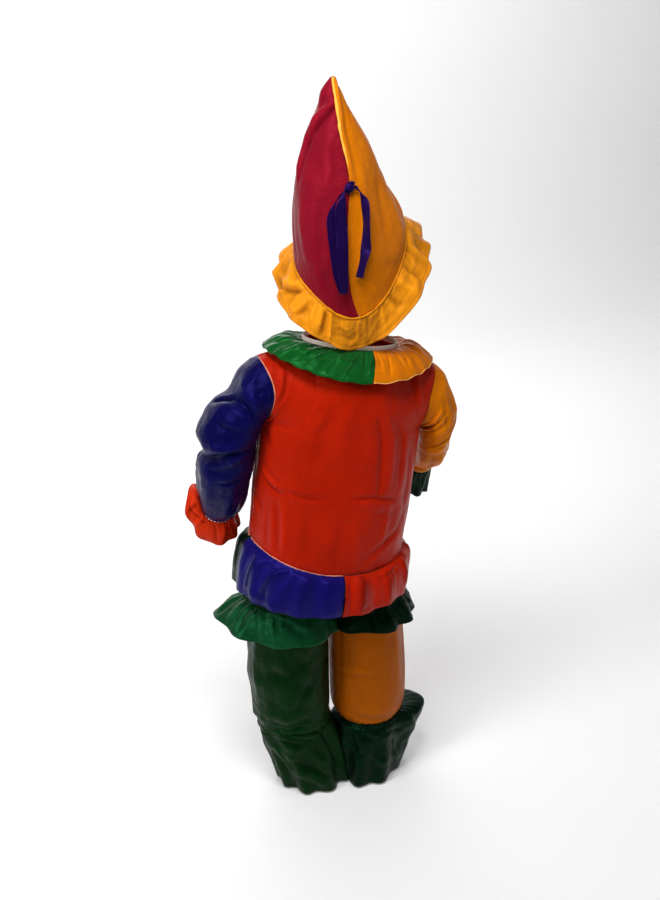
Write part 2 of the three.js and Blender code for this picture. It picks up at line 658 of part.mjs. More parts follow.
// Half width of a leg, the left one being fuller below the hips.
function legHalf(hand, place) {
  const extra = hand < 0 ? LEFT_LEG_EXTRA * (1 - atRow(trouserSections, place, 'hip')) : 0;
  return atRow(trouserSections, place, 'half') + extra;
}

// u runs round the leg from the inner seam over the back, the outside and the front.
function trouserPoint(hand, u, place) {
  const value = (column) => atRow(trouserSections, place, column);
  const seamAngle = HALF_SEAM / value('deep');
  const legTurn = -Math.PI + seamAngle + u * 2 * (Math.PI - seamAngle);
  const hipTurn = -Math.PI / 2 + u * Math.PI;
  const out = value(hand < 0 ? 'outLeft' : 'outRight');
  const hip = value('hip');
  const hipHalf = lookUp(hipSections, 'row', place, 'half');
  const hipDeep = lookUp(hipSections, 'row', place, 'deep');
  const legX = out + legHalf(hand, place) * Math.cos(legTurn);
  const x = legX + (hipHalf * Math.cos(hipTurn) - legX) * hip + HALF_SEAM;
  const legY = value('deep') * Math.sin(legTurn);
  const y = legY + (hipDeep * Math.sin(hipTurn) - legY) * hip;
  return new THREE.Vector3(value('mid') + hand * x, y, trouserLevel(hand, value('height')));
}

function trouserLeg(name, colour, hand) {
  const rows = trouserSections.length - 1;
  const settings = { name, colour, columns: 20, rows, inward: hand };
  return clothWall(settings, (u, v) => trouserPoint(hand, u, v * rows));
}

function waistCasing() {
  const last = trouserSections[trouserSections.length - 1];
  return clothWall({
    name: 'waist_casing', colour: COLOURS.green, columns: 32, rows: 1, ring: true, wall: CASING.wall,
  }, (u, v) => {
    const turn = u * 2 * Math.PI;
    return new THREE.Vector3(
      last.mid + CASING.half * Math.cos(turn),
      CASING.deep * Math.sin(turn),
      CASING.bottom + SEAM + v * (CASING.top - CASING.bottom),
    );
  });
}

// The place among the trouser rings that has a given height.
function trouserPlace(hand, height) {
  let place = 0;
  while (trouserLevel(hand, atRow(trouserSections, place, 'height')) < height) place += SEARCH_STEP;
  return place;
}

// Keeps a frill on its own side of the line between the legs.
function ownSide(hand, line, x) {
  return line + hand * Math.max(hand * (x - line), LEG_CLEARANCE);
}

function kneeRuffle(name, colour, hand, seed) {
  const size = hand < 0 ? kneeRuffles.left : kneeRuffles.right;
  const rows = kneeProfile.length - 1;
  const place = trouserPlace(hand, size.seam);
  const value = (column) => atRow(trouserSections, place, column);
  const middle = value('mid') + hand * value(hand < 0 ? 'outLeft' : 'outRight');
  const off = SEAM + CLOTH + size.ease;
  return clothWall({ name, colour, columns: 40, rows, ring: true, inward: -1 }, (u, v) => {
    const turn = u * 2 * Math.PI;
    const [cos, sin] = [Math.cos(turn), Math.sin(turn)];
    const profile = (column) => atRow(kneeProfile, v * rows, column);
    const flap = Math.max(0, Math.cos(turn - radians(size.flapAt))) ** size.spread;
    const wave = profile('wave') * flute(turn, FRILL_WAVES.knee, seed);
    const out = off + profile('out') + size.flap * flap * v ** 0.8 + wave;
    return new THREE.Vector3(
      ownSide(hand, value('mid'), middle + (legHalf(hand, place) + out) * cos),
      (value('deep') + out) * sin,
      size.seam - profile('down') + size.lift * flap * v,
    );
  });
}

function ankleRuffle(name, colour, hand, seed) {
  const size = hand < 0 ? ankleRuffles.left : ankleRuffles.right;
  const rows = ankleProfile.length - 1;
  const top = trouserSections[0];
  const middle = top.mid + hand * (hand < 0 ? top.outLeft : top.outRight);
  const seam = (hand < 0 ? TROUSER_RINGS.left : TROUSER_RINGS.right) - SEAM;
  return clothWall({ name, colour, columns: 40, rows, ring: true, inward: -1 }, (u, v) => {
    const turn = u * 2 * Math.PI;
    const [cos, sin] = [Math.cos(turn), Math.sin(turn)];
    const profile = (column) => atRow(ankleProfile, v * rows, column);
    const stand = Math.sin(Math.PI * v ** ANKLE_FLAP_RISE);
    const flap = size.flap * stand * Math.max(0, Math.cos(turn - radians(size.flapAt))) ** size.spread;
    const wave = profile('wave') * flute(turn, FRILL_WAVES.ankle, seed);
    const out = profile('out') + flap - size.narrow * v + wave;
    const level = seam - profile('down') * (seam - size.hem);
    const line = top.mid + ANKLE_LINE_SHIFT * (1 - level / TROUSER_RINGS.left);
    return new THREE.Vector3(
      ownSide(hand, line, middle - hand * size.shift * v ** 1.3 + (legHalf(hand, 0) + out) * cos),
      (top.deep + out) * sin,
      level,
    );
  });
}

// HAT

function hatPoint(turn, place) {
  const [cos, sin] = [Math.cos(turn), Math.sin(turn)];
  const value = (column) => atRow(hatSections, place, column);
  const away = (each) => bell(turnApart(turn, radians(each.at)), radians(each.spread));
  const dent = hatDents.reduce((sum, each) => (
    sum + each.depth * away(each) * bell(place - each.row, each.reach)
  ), 0);
  const lift = hatLifts.reduce((sum, each) => sum + each.rise * away(each) * bell(place, each.rows), 0);
  const half = value('half') - Math.min(dent, value('half') / 3);
  const deep = value(sin < 0 ? 'back' : 'front') - Math.min(dent, value('half') / 3);
  const turned = radians(HAT_TURN);
  return new THREE.Vector3(
    value('x') + half * cos * Math.cos(turned) - deep * sin * Math.sin(turned),
    half * cos * Math.sin(turned) + deep * sin * Math.cos(turned),
    value('side') - value('arch') * sin * sin + value('tip') * sin + value('roll') * cos + lift,
  );
}

function hatHalf(name, colour, hand) {
  const rows = hatSections.length - 1;
  return clothWall({ name, colour, columns: 12, rows, inward: hand }, (u, v) => {
    const seam = radians(atRow(hatSections, v * rows, 'seam'));
    const turn = -Math.PI / 2 + seam + u * (hand * Math.PI - seam);
    const point = hatPoint(turn, v * rows);
    point.x += hand * HALF_SEAM;
    return point;
  });
}

function hatRufflePoint(turn, v) {
  const away = Math.abs(turnApart(turn, -Math.PI / 2));
  const value = (column) => lookUp(hatRuffleFall, 'from', THREE.MathUtils.radToDeg(away), column);
  const start = hatPoint(turn, 0);
  const wave = value('wave') * v ** 1.2 * flute(turn, HAT_RUFFLE.waves, 0.4);
  const hitch = hatHitches.reduce((sum, each) => (
    sum + each.share * bell(turnApart(turn, radians(each.at)), radians(each.spread))
  ), 0);
  const length = HAT_RUFFLE.length * v * (1 - hitch);
  const spread = value('out') * (1 + HAT_RUFFLE.side * Math.cos(turn));
  const out = spread * length + wave * value('down');
  const fall = value('down') - HAT_RUFFLE.roll * value('out') * Math.cos(turn);
  const down = fall * length - wave * Math.abs(value('out'));
  const heading = turn + radians(HAT_TURN);
  start.x += Math.cos(heading) * out;
  start.y += Math.sin(heading) * out;
  start.z -= down + SEAM + HAT_RUFFLE.lift;
  return start;
}

// RIBBON TIE

// How far back the hat reaches at a height, along its back seam.
function hatBack(height) {
  let place = 0;
  while (hatPoint(-Math.PI / 2, place).z < height) place += SEARCH_STEP;
  return hatPoint(-Math.PI / 2, place).y;
}

function ribbon(name, path) {
  const rows = path.length - 1;
  const cloth = { colour: COLOURS.navy, roughness: RIBBON_SATIN, wall: RIBBON_WALL };
  return clothWall({ name, ...cloth, columns: 2, rows }, (u, v) => {
    const value = (column) => atRow(path, v * rows, column);
    const turn = radians(value('turn'));
    const lean = radians(value('lean'));
    const across = (u - 0.5) * value('width');
    const level = value('z');
    return new THREE.Vector3(
      value('x') + across * Math.cos(turn) * Math.cos(lean),
      hatBack(level) - value('off') - across * Math.sin(turn),
      level + across * Math.cos(turn) * Math.sin(lean),
    );
  });
}

function ribbonKnot() {
  const ball = new THREE.SphereGeometry(1, 14, 9);
  ball.deleteAttribute('normal');
  ball.deleteAttribute('uv');
  const shape = mergeVertices(ball);
  const place = new THREE.Vector3(KNOT.x, hatBack(KNOT.z) - KNOT.deep - KNOT.gap, KNOT.z);
  shape.scale(KNOT.half, KNOT.deep, KNOT.high);
  shape.translate(place.x, place.y, place.z);
  const positions = [...shape.attributes.position.array];
  return closedMesh('ribbon_knot', COLOURS.navy, RIBBON_SATIN, positions, [...shape.index.array]);
}

function hatRuffle() {
  const settings = { columns: 64, rows: 3, ring: true, inward: -1 };
  return clothWall({ name: 'hat_ruffle', colour: COLOURS.ruffleYellow, ...settings }, (u, v) => (
    hatRufflePoint(u * 2 * Math.PI, v)
  ));
}

const costume = new THREE.Group();
costume.add(
  hatHalf('hat_left', COLOURS.crimson, -1),
  hatHalf('hat_right', COLOURS.golden, 1),
  hatRuffle(),
  ribbonKnot(),
  ribbon('ribbon_loop', loopPath),
  ribbon('ribbon_tail', tailPath),
  panel(-1, 'tunic_back', 16),
  panel(1, 'tunic_front', 12),
  neckBinding(),
  collarHalf('collar_left', COLOURS.green, 180 + COLLAR_SEAM.at, 360 + COLLAR_SEAM.at),
  collarHalf('collar_right', COLOURS.golden, COLLAR_SEAM.at, 180 + COLLAR_SEAM.at),
  sleeve('sleeve_left', COLOURS.navy, leftSleeve, -1),
  cuffRuffle('cuff_ruffle_left', COLOURS.coral, leftSleeve, -1, SEAM, 0.6),
  sleeve('sleeve_right', COLOURS.golden, rightSleeve, 1),
  cuffBand('cuff_band_right', COLOURS.golden, rightSleeve, 1),
  cuffRuffle('cuff_ruffle_right', COLOURS.darkGreen, rightSleeve, 1, CUFF_BAND.length + 2 * SEAM, 2.1),
  peplumQuarter('peplum_back_left', COLOURS.blue, 180, 0.3),
  peplumQuarter('peplum_back_right', COLOURS.orangeRed, -90, 0.3),
  peplumQuarter('peplum_front_left', COLOURS.darkGreen, 90, 0.3),
  peplumQuarter('peplum_front_right', COLOURS.golden, 0, 0.3),
  trouserLeg('trouser_left', COLOURS.green, -1),
  trouserLeg('trouser_right', COLOURS.ochre, 1),
  waistCasing(),
  kneeRuffle('knee_ruffle_left', COLOURS.green, -1, 0.9),
  kneeRuffle('knee_ruffle_right', COLOURS.darkGreen, 1, 2.3),
  ankleRuffle('ankle_ruffle_left', COLOURS.green, -1, 1.4),
  ankleRuffle('ankle_ruffle_right', COLOURS.darkGreen, 1, 0.2),
);

// The middle of the neck opening is the origin.
costume.position.copy(tunicPoint(0, 0, NECK.height)).negate();

export default costume;
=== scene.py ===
"""Looks of a child's clown costume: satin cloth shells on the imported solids, seams, stitches and light."""

import math

import bpy
import numpy as np
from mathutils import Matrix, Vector


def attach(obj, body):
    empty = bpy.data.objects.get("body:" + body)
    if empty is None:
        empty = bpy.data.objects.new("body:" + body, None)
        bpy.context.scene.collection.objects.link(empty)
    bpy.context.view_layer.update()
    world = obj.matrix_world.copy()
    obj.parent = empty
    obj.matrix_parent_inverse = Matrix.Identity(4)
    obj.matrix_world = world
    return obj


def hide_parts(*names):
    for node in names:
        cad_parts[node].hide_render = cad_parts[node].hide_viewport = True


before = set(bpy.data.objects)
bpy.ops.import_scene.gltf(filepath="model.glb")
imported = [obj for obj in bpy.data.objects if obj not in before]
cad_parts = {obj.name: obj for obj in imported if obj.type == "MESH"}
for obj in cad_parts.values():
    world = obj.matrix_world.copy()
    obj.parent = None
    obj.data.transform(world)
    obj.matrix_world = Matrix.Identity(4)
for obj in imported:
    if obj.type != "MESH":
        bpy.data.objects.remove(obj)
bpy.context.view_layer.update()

# Sizes are millimetres in the costume's own frame, with heights above the floor, as the solids
# are drawn. X runs to the wearer's right and Y to the front. Meshes are moved to the row's
# frame, in metres, when they are made. In tables for both sides, -1 is the wearer's left or the
# back, and 1 the right or the front.

MM = 0.001
SEAM = 0.3
HALF_SEAM = SEAM / 2
CLOTH = 1.5
SHELL = 0.8
STITCH_LIFT = 0.1
NOISE_CELLS = 64
# Limits of the painted shade and painted highlight that a cloth's relief puts into its colour
PAINTED_LIGHT_LIMITS = (0.55, 1.35)

# Tunic
WAIST = {"x": -41, "z": 543, "lean": math.radians(7)}
BODY_FULLNESS = 0.9
BACK_SEAM_DROP = 29
FRONT_SEAM_DROP = 8
UNDERARM = 232
ARMHOLE = {"middle": 289, "high": 57, "deep": 60, "at": 151, "shoulder": 17, "hollow": 4}
NECK = {"half": 89, "deep": 65, "height": 377, "share": 0.5}
BINDING = {"height": 10.6, "wall": 1.8, "lift": 0.4}
TOP_SETTLE = 2.5
UPPER_ROWS = 6

# Collar and peplum
COLLAR = {
    "inner": 0.9, "half": 159, "back": 119, "front": 117, "side": 363, "back_drop": 28, "front_drop": 14,
}
COLLAR_RISE = {"start": 3, "crown": 5, "shoulder": 8}
COLLAR_WAVES = {"count": 24, "edge": 1.6}
COLLAR_SEAM = {"at": math.radians(-76), "twist": math.radians(-11)}
PEPLUM = {"side": 103, "back": 78, "waves": 18, "rise": 2.5}
PEPLUM_HITCH = {"at": math.radians(-42), "spread": math.radians(40), "size": 16}
FRILL_WAVES = {"cuff": 8, "knee": 9, "ankle": 9}

# Trousers
TROUSER_RINGS = {-1: 158, 1: 140}
LEG_CLEARANCE = 0.5
ANKLE_LINE_SHIFT = 26
ANKLE_FLAP_RISE = 0.55
LEFT_LEG_EXTRA = 3
CASING = {"bottom": 619, "top": 646, "half": 117, "deep": 86, "wall": 2.4}

# Hat
HAT_TURN = math.radians(-7)
HAT_RUFFLE = {"length": 64, "waves": 16, "lift": 0.5, "side": 0.2, "roll": 0.2}
HAT_BACK_STEPS = 400
KNOT = {"x": -21, "z": 1203, "half": 9, "high": 10, "deep": 6, "gap": 1.6}
KNOT_GRID = (56, 36)
RIBBON_GRID = 12
RIBBON_WIDTH = 18

# Columns and rows of each cloth's mesh, then how far its creases reach across it and along it

cloth_grids = {
    "tunic": (124, 112, 430, 400),
    "neck_binding": (180, 14, 490, 24),
    "collar": (280, 22, 430, 62),
    "sleeve_left": (124, 104, 365, 330),
    "sleeve_right": (124, 104, 300, 240),
    "cuff_ruffle_left": (200, 26, 300, 52),
    "cuff_ruffle_right": (200, 26, 220, 52),
    "cuff_band": (120, 8, 150, 12),
    "peplum": (110, 40, 230, 90),
    "trouser_left": (124, 112, 470, 460),
    "trouser_right": (124, 112, 460, 480),
    "waist_casing": (180, 10, 640, 27),
    "knee_ruffle": (260, 26, 640, 64),
    "ankle_ruffle": (216, 42, 560, 150),
    "hat": (104, 120, 290, 300),
    "hat_ruffle": (400, 28, 760, 64),
}


def table(columns, *rows):
    """Short table with named columns, as an array for each name."""
    return {name: np.array(values, float) for name, values in zip(columns.split(), zip(*rows))}


body_sections = table(
    "height half back front drop",
    (0, 147, 122, 104, 1),
    (44, 149, 121, 105, 0.7),
    (90, 151, 118, 106, 0.4),
    (138, 151.5, 115, 107, 0.15),
    (186, 151.5, 112, 106, 0),
    (UNDERARM, 151, 109, 104, 0),
)
upper_sections = table(
    "climb height back front",
    (0, UNDERARM, 109, 104),
    (0.33, 281, 108, 103),
    (0.67, 330, 100, 96),
    (0.83, 354, 89, 86),
    (1, 377, 65, 65),
)
body_folds = {
    -1: table(
        "at width height reach depth",
        (-0.62, 0.16, 40, 70, 5),
        (0.66, 0.15, 130, 90, 5),
        (0.3, 0.18, 20, 50, 3),
        (-0.2, 0.2, 180, 60, 3),
    ),
    1: table(
        "at width height reach depth",
        (-0.55, 0.2, 70, 80, 5),
        (0.5, 0.2, 110, 80, 5),
    ),
}
sleeve_rings = {
    -1: table(
        "out_x out_z in_x in_z y deep swing",
        (-195, 886, -166.5, 784, 0, 61, 0),
        (-217, 848, -168.5, 775, 0, 62, 0),
        (-248, 829, -170.5, 765, 0, 64, 0),
        (-268, 800, -172, 753, 2, 64, 3),
        (-281, 770, -173.5, 740, 4, 62, 6),
        (-266, 738, -175.5, 725, 8, 57, 9),
        (-279, 713, -178, 704, 14, 58, 12),
        (-282, 688, -182, 682, 22, 57, 15),
        (-279, 651, -184, 647, 36, 53, 20),
        (-270, 617, -191, 616, 50, 43, 26),
        (-264, 598, -205, 598, 58, 31, 30),
    ),
    1: table(
        "out_x out_z in_x in_z y deep swing",
        (185, 853, 140.5, 749, 0, 61, 0),
        (196, 829, 143, 741, 0, 62, 0),
        (208, 803, 145, 732, 1, 63, 0),
        (213, 779, 147, 721, 4, 62, 4),
        (212, 757, 148, 709, 9, 60, 9),
        (206, 738, 147.5, 697, 15, 57, 14),
        (214, 713, 147, 684, 24, 56, 19),
        (216, 696, 147.5, 674, 34, 51, 24),
        (208, 675, 148, 664, 46, 41, 28),
        (200, 658, 149, 655, 56, 28, 30),
    ),
}
SLEEVE_GATHERS = {"count": 6, "depth": 3.5, "from": 0.55}
CUFF_BAND = {"length": 12, "bulge": 2}
cuff_profile = table("down out wave", (0, 0, 0), (10, 9, 1), (26, 18, 2.2), (42, 23, 3.4))
cuff_ruffles = {
    -1: {"flare": 0.9, "length": 1, "flap_at": math.radians(40), "flap": 16, "lift": 58, "inner": 9},
    1: {"flare": 0.12, "length": 1.72, "flap_at": 0, "flap": 0, "lift": 0, "inner": 0},
}
peplum_profile = table(
    "down out wave", (0, 0.4, 0), (0.12, 12, 1.5), (0.34, 18, 2.4), (0.66, 20, 3), (1, 19, 3.6)
)
peplum_lobes = table("at spread size", (20, 28.6, 9), (150, 22.9, 5))
knee_profile = table("down out wave", (0, 0, 0), (14, 6, 2), (34, 17, 4), (58, 25, 6))
ankle_profile = table("down out wave", (0, 0, 0), (0.14, 9, 2.5), (0.5, 12, 5), (1, 12, 8))
trouser_sections = table(
    "height mid out_left out_right half deep hip",
    (0, -32, 76, 80, 62, 62, 0),
    (0.06, -32, 82, 80, 74, 74, 0),
    (0.2, -32, 85, 79, 76, 78, 0),
    (0.38, -33, 84, 75, 74, 80, 0),
    (0.56, -37, 80, 73, 71, 80, 0),
    (0.68, -40, 76, 72, 70, 82, 0),
    (0.78, -42, 72, 71, 69, 84, 0.5),
    (0.87, -41, 72, 71, 69, 84, 1),
    (0.94, -36, 72, 71, 69, 84, 1),
    (1, -32, 72, 71, 69, 84, 1),
)
hip_sections = table(
    "row half deep", (0, 139, 98.5), (7, 139, 102.1), (8, 131, 99.1), (9, CASING["half"], CASING["deep"])
)
knee_ruffles = {
    -1: {"seam": 428, "flap_at": math.radians(172), "flap": 38, "lift": 22, "spread": 3, "ease": 0},
    1: {"seam": 432, "flap_at": math.radians(5), "flap": 4, "lift": 0, "spread": 3, "ease": 0.9},
}
ankle_ruffles = {
    -1: {"flap_at": math.radians(195), "flap": 11, "spread": 3, "shift": 42, "narrow": 8, "hem": 5},
    1: {"flap_at": math.radians(8), "flap": 62, "spread": 5, "shift": 10, "narrow": 0, "hem": 5},
}
hat_sections = table(
    "side x half back front tip arch roll seam",
    (1091, 5, 98, 88, 92, 75, 31, 28, -1),
    (1120, 3, 97, 92, 92, 66, 26, 24, -8),
    (1150, -5, 90, 92, 88, 56, 21, 20, -7.5),
    (1180, -13, 81, 86, 80, 46, 16, 16, -3),
    (1210, -17, 73, 76, 70, 37, 11, 12, 2),
    (1240, -20, 65, 66, 60, 29, 7, 9, 9),
    (1270, -21, 52.5, 53, 49, 22, 4, 6, 6.5),
    (1300, -26, 40, 40, 38, 15, 2, 4, 5.5),
    (1328, -27.5, 25, 25, 24, 9, 0, 2, 7),
    (1352, -29.5, 16.5, 15, 15, 4, 0, 0, 8),
    (1373, -28, 4, 4, 4, 0, 0, 0, 0),
)
hat_dents = table(
    "at spread row reach depth",
    (215, 26, 7.2, 1.6, 6),
    (250, 18, 3, 2, 3),
    (-40, 20, 3.5, 2.2, 3),
    (30, 24, 6, 2, 4),
)
hat_lifts = table("at spread rise reach", (222, 30, 14, 2.2), (-42, 26, 6, 1.6))
hat_hitches = table("at spread share", (245, 30, 0.03), (303, 15, -0.14))
hat_fall = table(
    "angle out down wave",
    (0, -0.33, 0.94, 0.5),
    (22, -0.1, 0.98, 2.5),
    (45, 0.38, 0.88, 5),
    (90, 0.6, 0.74, 5),
    (135, 0.84, 0.5, 8),
    (180, 0.97, 0.2, 7),
)
loop_path = table(
    "x z off width turn lean",
    (-31.5, 1200, 8.5, 10, 0, 64),
    (-36, 1191, 10, 14, 0, 50),
    (-39, 1180, 11, 18, 0, 25),
    (-41, 1160, 11, 20, 0, 5),
    (-41, 1130, 10, 20, 8, 0),
    (-41, 1095, 10, 20, -6, 0),
    (-41, 1062, 9.5, 18, 0, 0),
    (-39, 1040, 9, 14, 0, 0),
    (-38.5, 1033, 8.4, 12, 0, 0),
    (-39, 1030, 6, 12, 0, 0),
    (-40, 1033, 3.6, 12, 0, 0),
    (-43, 1042, 3.2, 14, 0, 0),
    (-49, 1070, 3, 18, 0, 0),
    (-53, 1110, 3, 18, 0, 0),
    (-56, 1145, 3, 16, 0, 0),
    (-53, 1168, 3, 13, 0, 30),
    (-44, 1183, 3.2, 10, 0, 55),
    (-34, 1192, 3.2, 8, 0, 66),
)
tail_path = table(
    "x z off width turn lean",
    (-11.5, 1203, 7.4, 8, 0, -75),
    (-4.5, 1198, 9, 10, 10, -60),
    (2, 1185, 11, 14, 35, -20),
    (3, 1168, 12, 18, 60, 0),
    (2, 1145, 13, 19, 72, 0),
    (0, 1120, 13, 19, 60, 0),
    (-1, 1104, 12, 19, 42, 0),
    (-6, 1086, 12, 18, 65, 0),
    (-14, 1058, 12, 16, 60, 0),
)


# Small mathematics

def curve(xs, ys, x):
    """Smooth curve through the points (xs, ys), at x."""
    slope = np.gradient(ys, xs)
    low = np.clip(np.searchsorted(xs, x, side="right") - 1, 0, len(xs) - 2)
    width = xs[low + 1] - xs[low]
    t = (x - xs[low]) / width
    rise = ys[low] * (1 - t) ** 2 * (1 + 2 * t) + ys[low + 1] * t ** 2 * (3 - 2 * t)
    return rise + width * t * (1 - t) * (slope[low] * (1 - t) - slope[low + 1] * t)


def along(rows, column, place):
    """Value of a column at a fractional row."""
    return curve(np.arange(len(rows[column]), dtype=float), rows[column], place)


def bell(distance, width):
    return np.exp(-((distance / width) ** 2))


def turn_apart(turn, other):
    """Smallest angle from one turn to another."""
    return np.arctan2(np.sin(turn - other), np.cos(turn - other))


def near(turn, at, spread):
    """Bump round a ring, with its place and its spread in degrees."""
    return bell(turn_apart(turn, math.radians(at)), math.radians(spread))


def ease(value, low, high):
    t = np.clip((value - low) / (high - low), 0, 1)
    return t * t * (3 - 2 * t)


def power(value, exponent=BODY_FULLNESS):
    return np.sign(value) * np.abs(value) ** exponent


def points(x, y, z):
    return np.stack(np.broadcast_arrays(x, y, z), axis=-1).astype(float)


def flute(turn, count, seed):
    """Uneven waves round a frill."""
    drift = 0.55 * np.sin(3 * turn + seed) + 0.3 * np.sin(5 * turn + 2 * seed)
    strength = 0.8 + 0.2 * np.sin(2 * turn + 1.7 * seed)
    return strength * np.sin(count * turn + drift + seed)


def noise(x, y, seed, period=NOISE_CELLS):
    """Smooth noise from -1 to 1 over cells one unit wide. It repeats in x after the period."""
    grid = np.random.default_rng(seed).uniform(-1, 1, (NOISE_CELLS, period))
    left, low = np.floor(x).astype(int), np.floor(y).astype(int)
    across, up = x - left, y - low
    across, up = across ** 2 * (3 - 2 * across), up ** 2 * (3 - 2 * up)
    row, above = low % NOISE_CELLS, (low + 1) % NOISE_CELLS
    column, right = left % period, (left + 1) % period
    bottom = grid[row, column] * (1 - across) + grid[row, right] * across
    top = grid[above, column] * (1 - across) + grid[above, right] * across
    return bottom * (1 - up) + top * up


# Forms of the pieces, as the solids have them

def tunic_point(x, y, height):
    cos, sin = math.cos(WAIST["lean"]), math.sin(WAIST["lean"])
    return points(WAIST["x"] + x * cos + height * sin, y, WAIST["z"] - x * sin + height * cos)


def tunic_fold(side, across, height):
    total = 0
    for at, width, middle, reach, depth in zip(*body_folds[side].values()):
        total = total + depth * bell(across - at, width) * bell(height - middle, reach)
    return total


def armhole(side, turn, outward=0.0):
    """x, y and height of the armhole of the right side. Turn runs from the underarm to the shoulder."""
    high = np.sin(turn)
    x = ARMHOLE["at"] + ARMHOLE["shoulder"] * np.maximum(0, high) ** 1.5
    x = x - ARMHOLE["hollow"] * np.cos(turn) ** 2 + outward
    return x, side * (ARMHOLE["deep"] * np.cos(turn) + HALF_SEAM), ARMHOLE["middle"] + ARMHOLE["high"] * high


def body_row(side, across, row):
    angle = across * np.pi / 2
    height = along(body_sections, "height", row)
    drop = along(body_sections, "drop", row) * (BACK_SEAM_DROP if side < 0 else FRONT_SEAM_DROP)
    deep = along(body_sections, "back" if side < 0 else "front", row)
    pulled = deep - tunic_fold(side, across, height) * np.cos(angle)
    return (
        along(body_sections, "half", row) * power(np.sin(angle)),
        side * (pulled * power(np.cos(angle)) + HALF_SEAM),
        height - drop * np.cos(angle) ** 2,
    )


def top_line(side, across):
    """Shoulder seams and neckline in one line across the top of a panel."""
    reach = np.abs(across)
    angle = np.clip(across / NECK["share"], -1, 1) * np.pi / 2
    part = np.clip((reach - NECK["share"]) / (1 - NECK["share"]), 0, 1)
    end_x, _, end_z = armhole(side, np.pi / 2)
    beyond = reach > NECK["share"]
    shoulder = np.sign(across) * (NECK["half"] + (end_x - NECK["half"]) * part)
    x = np.where(beyond, shoulder, NECK["half"] * np.sin(angle))
    y = np.where(beyond, side * HALF_SEAM, side * (NECK["deep"] * np.cos(angle) + HALF_SEAM))
    z = np.where(beyond, NECK["height"] + (end_z - NECK["height"]) * part ** 1.2, NECK["height"])
    return points(x, y, z)


def upper_arc(side, across, climb):
    edge_x, edge_y, edge_z = armhole(side, -np.pi / 2 + np.pi * climb)
    deep = curve(upper_sections["climb"], upper_sections["back" if side < 0 else "front"], climb)
    middle = curve(upper_sections["climb"], upper_sections["height"], climb)
    widest = np.arccos(np.minimum(1, np.maximum(0, np.abs(edge_y) - HALF_SEAM) / deep))
    angle = across * widest
    full = BODY_FULLNESS + (1 - BODY_FULLNESS) * np.minimum(1, climb * UPPER_ROWS)
    fold = tunic_fold(side, across, middle) * (1 - climb)
    x = edge_x * power(np.sin(angle)) / np.maximum(power(np.sin(widest)), 1e-6)
    y = side * ((deep - fold * np.cos(angle)) * np.maximum(np.cos(angle), 0) ** full + HALF_SEAM)
    return points(x, y, edge_z + (middle - edge_z) * np.cos(across * np.pi / 2) ** 2)


def tunic_panel(side, u, v):
    across = 2 * u - 1
    lower = len(body_sections["height"]) - 1
    row = v * (lower + UPPER_ROWS)
    climb = np.clip((row - lower) / UPPER_ROWS, 0, 1)
    body = points(*body_row(side, across, np.minimum(row, lower)))
    settle = top_line(side, across) - upper_arc(side, across, np.ones_like(climb))
    upper = upper_arc(side, across, climb) + settle * (climb ** TOP_SETTLE)[..., None]
    place = np.where((row <= lower)[..., None], body, upper)
    return tunic_point(place[..., 0], place[..., 1], place[..., 2])


def collar(turn, v):
    twisted = turn + COLLAR_SEAM["twist"] * v
    cos, sin = np.cos(twisted), np.sin(twisted)
    back = sin < 0
    outer = np.where(back, COLLAR["back"], COLLAR["front"])
    drop = np.where(back, COLLAR["back_drop"], COLLAR["front_drop"]) * sin ** 2
    inner_half, inner_deep = NECK["half"] + COLLAR["inner"], NECK["deep"] + COLLAR["inner"]
    start = NECK["height"] + COLLAR_RISE["start"]
    crown = (COLLAR_RISE["crown"] + COLLAR_RISE["shoulder"] * cos ** 2) * np.sin(np.pi * v)
    height = start + (COLLAR["side"] - drop - start) * v + crown
    wave = COLLAR_WAVES["edge"] * v ** 1.3 * flute(turn, COLLAR_WAVES["count"], 1.1)
    x = cos * (inner_half + (COLLAR["half"] - inner_half) * v)
    return tunic_point(x, sin * (inner_deep + (outer - inner_deep) * v), height + wave)


def neck_binding(turn, across):
    """Folded tape round the neck: across is the angle round its rounded section."""
    out = BINDING["wall"] / 2 * power(np.cos(across), 0.7)
    up = BINDING["height"] / 2 * power(np.sin(across), 0.7)
    height = NECK["height"] + BINDING["lift"] + BINDING["height"] / 2 + up
    half, deep = NECK["half"] - BINDING["wall"] / 2 + out, NECK["deep"] - BINDING["wall"] / 2 + out
    return tunic_point(half * np.cos(turn), deep * np.sin(turn), height)


def table_ring(hand, ring, turn):
    """Ring of a sleeve: turn 0 is its outer end and 90 degrees its front."""
    value = {name: column[ring] for name, column in sleeve_rings[hand].items()}
    swing = math.radians(value["swing"])
    outer = np.array([value["out_x"], value["y"], value["out_z"]])
    inner = np.array([value["in_x"], value["y"], value["in_z"]])
    forward = value["deep"] * np.array([0, math.cos(swing), math.sin(swing)])
    half_way = (outer - inner) / 2 * np.cos(turn)[..., None]
    return (outer + inner) / 2 + half_way + forward * np.sin(turn)[..., None]


def armhole_ring(hand, turn):
    side = np.where(np.sin(turn) >= 0, 1, -1)
    x, y, z = armhole(side, np.arcsin(np.cos(turn)), SEAM)
    return tunic_point(hand * x, y - side * HALF_SEAM, z)


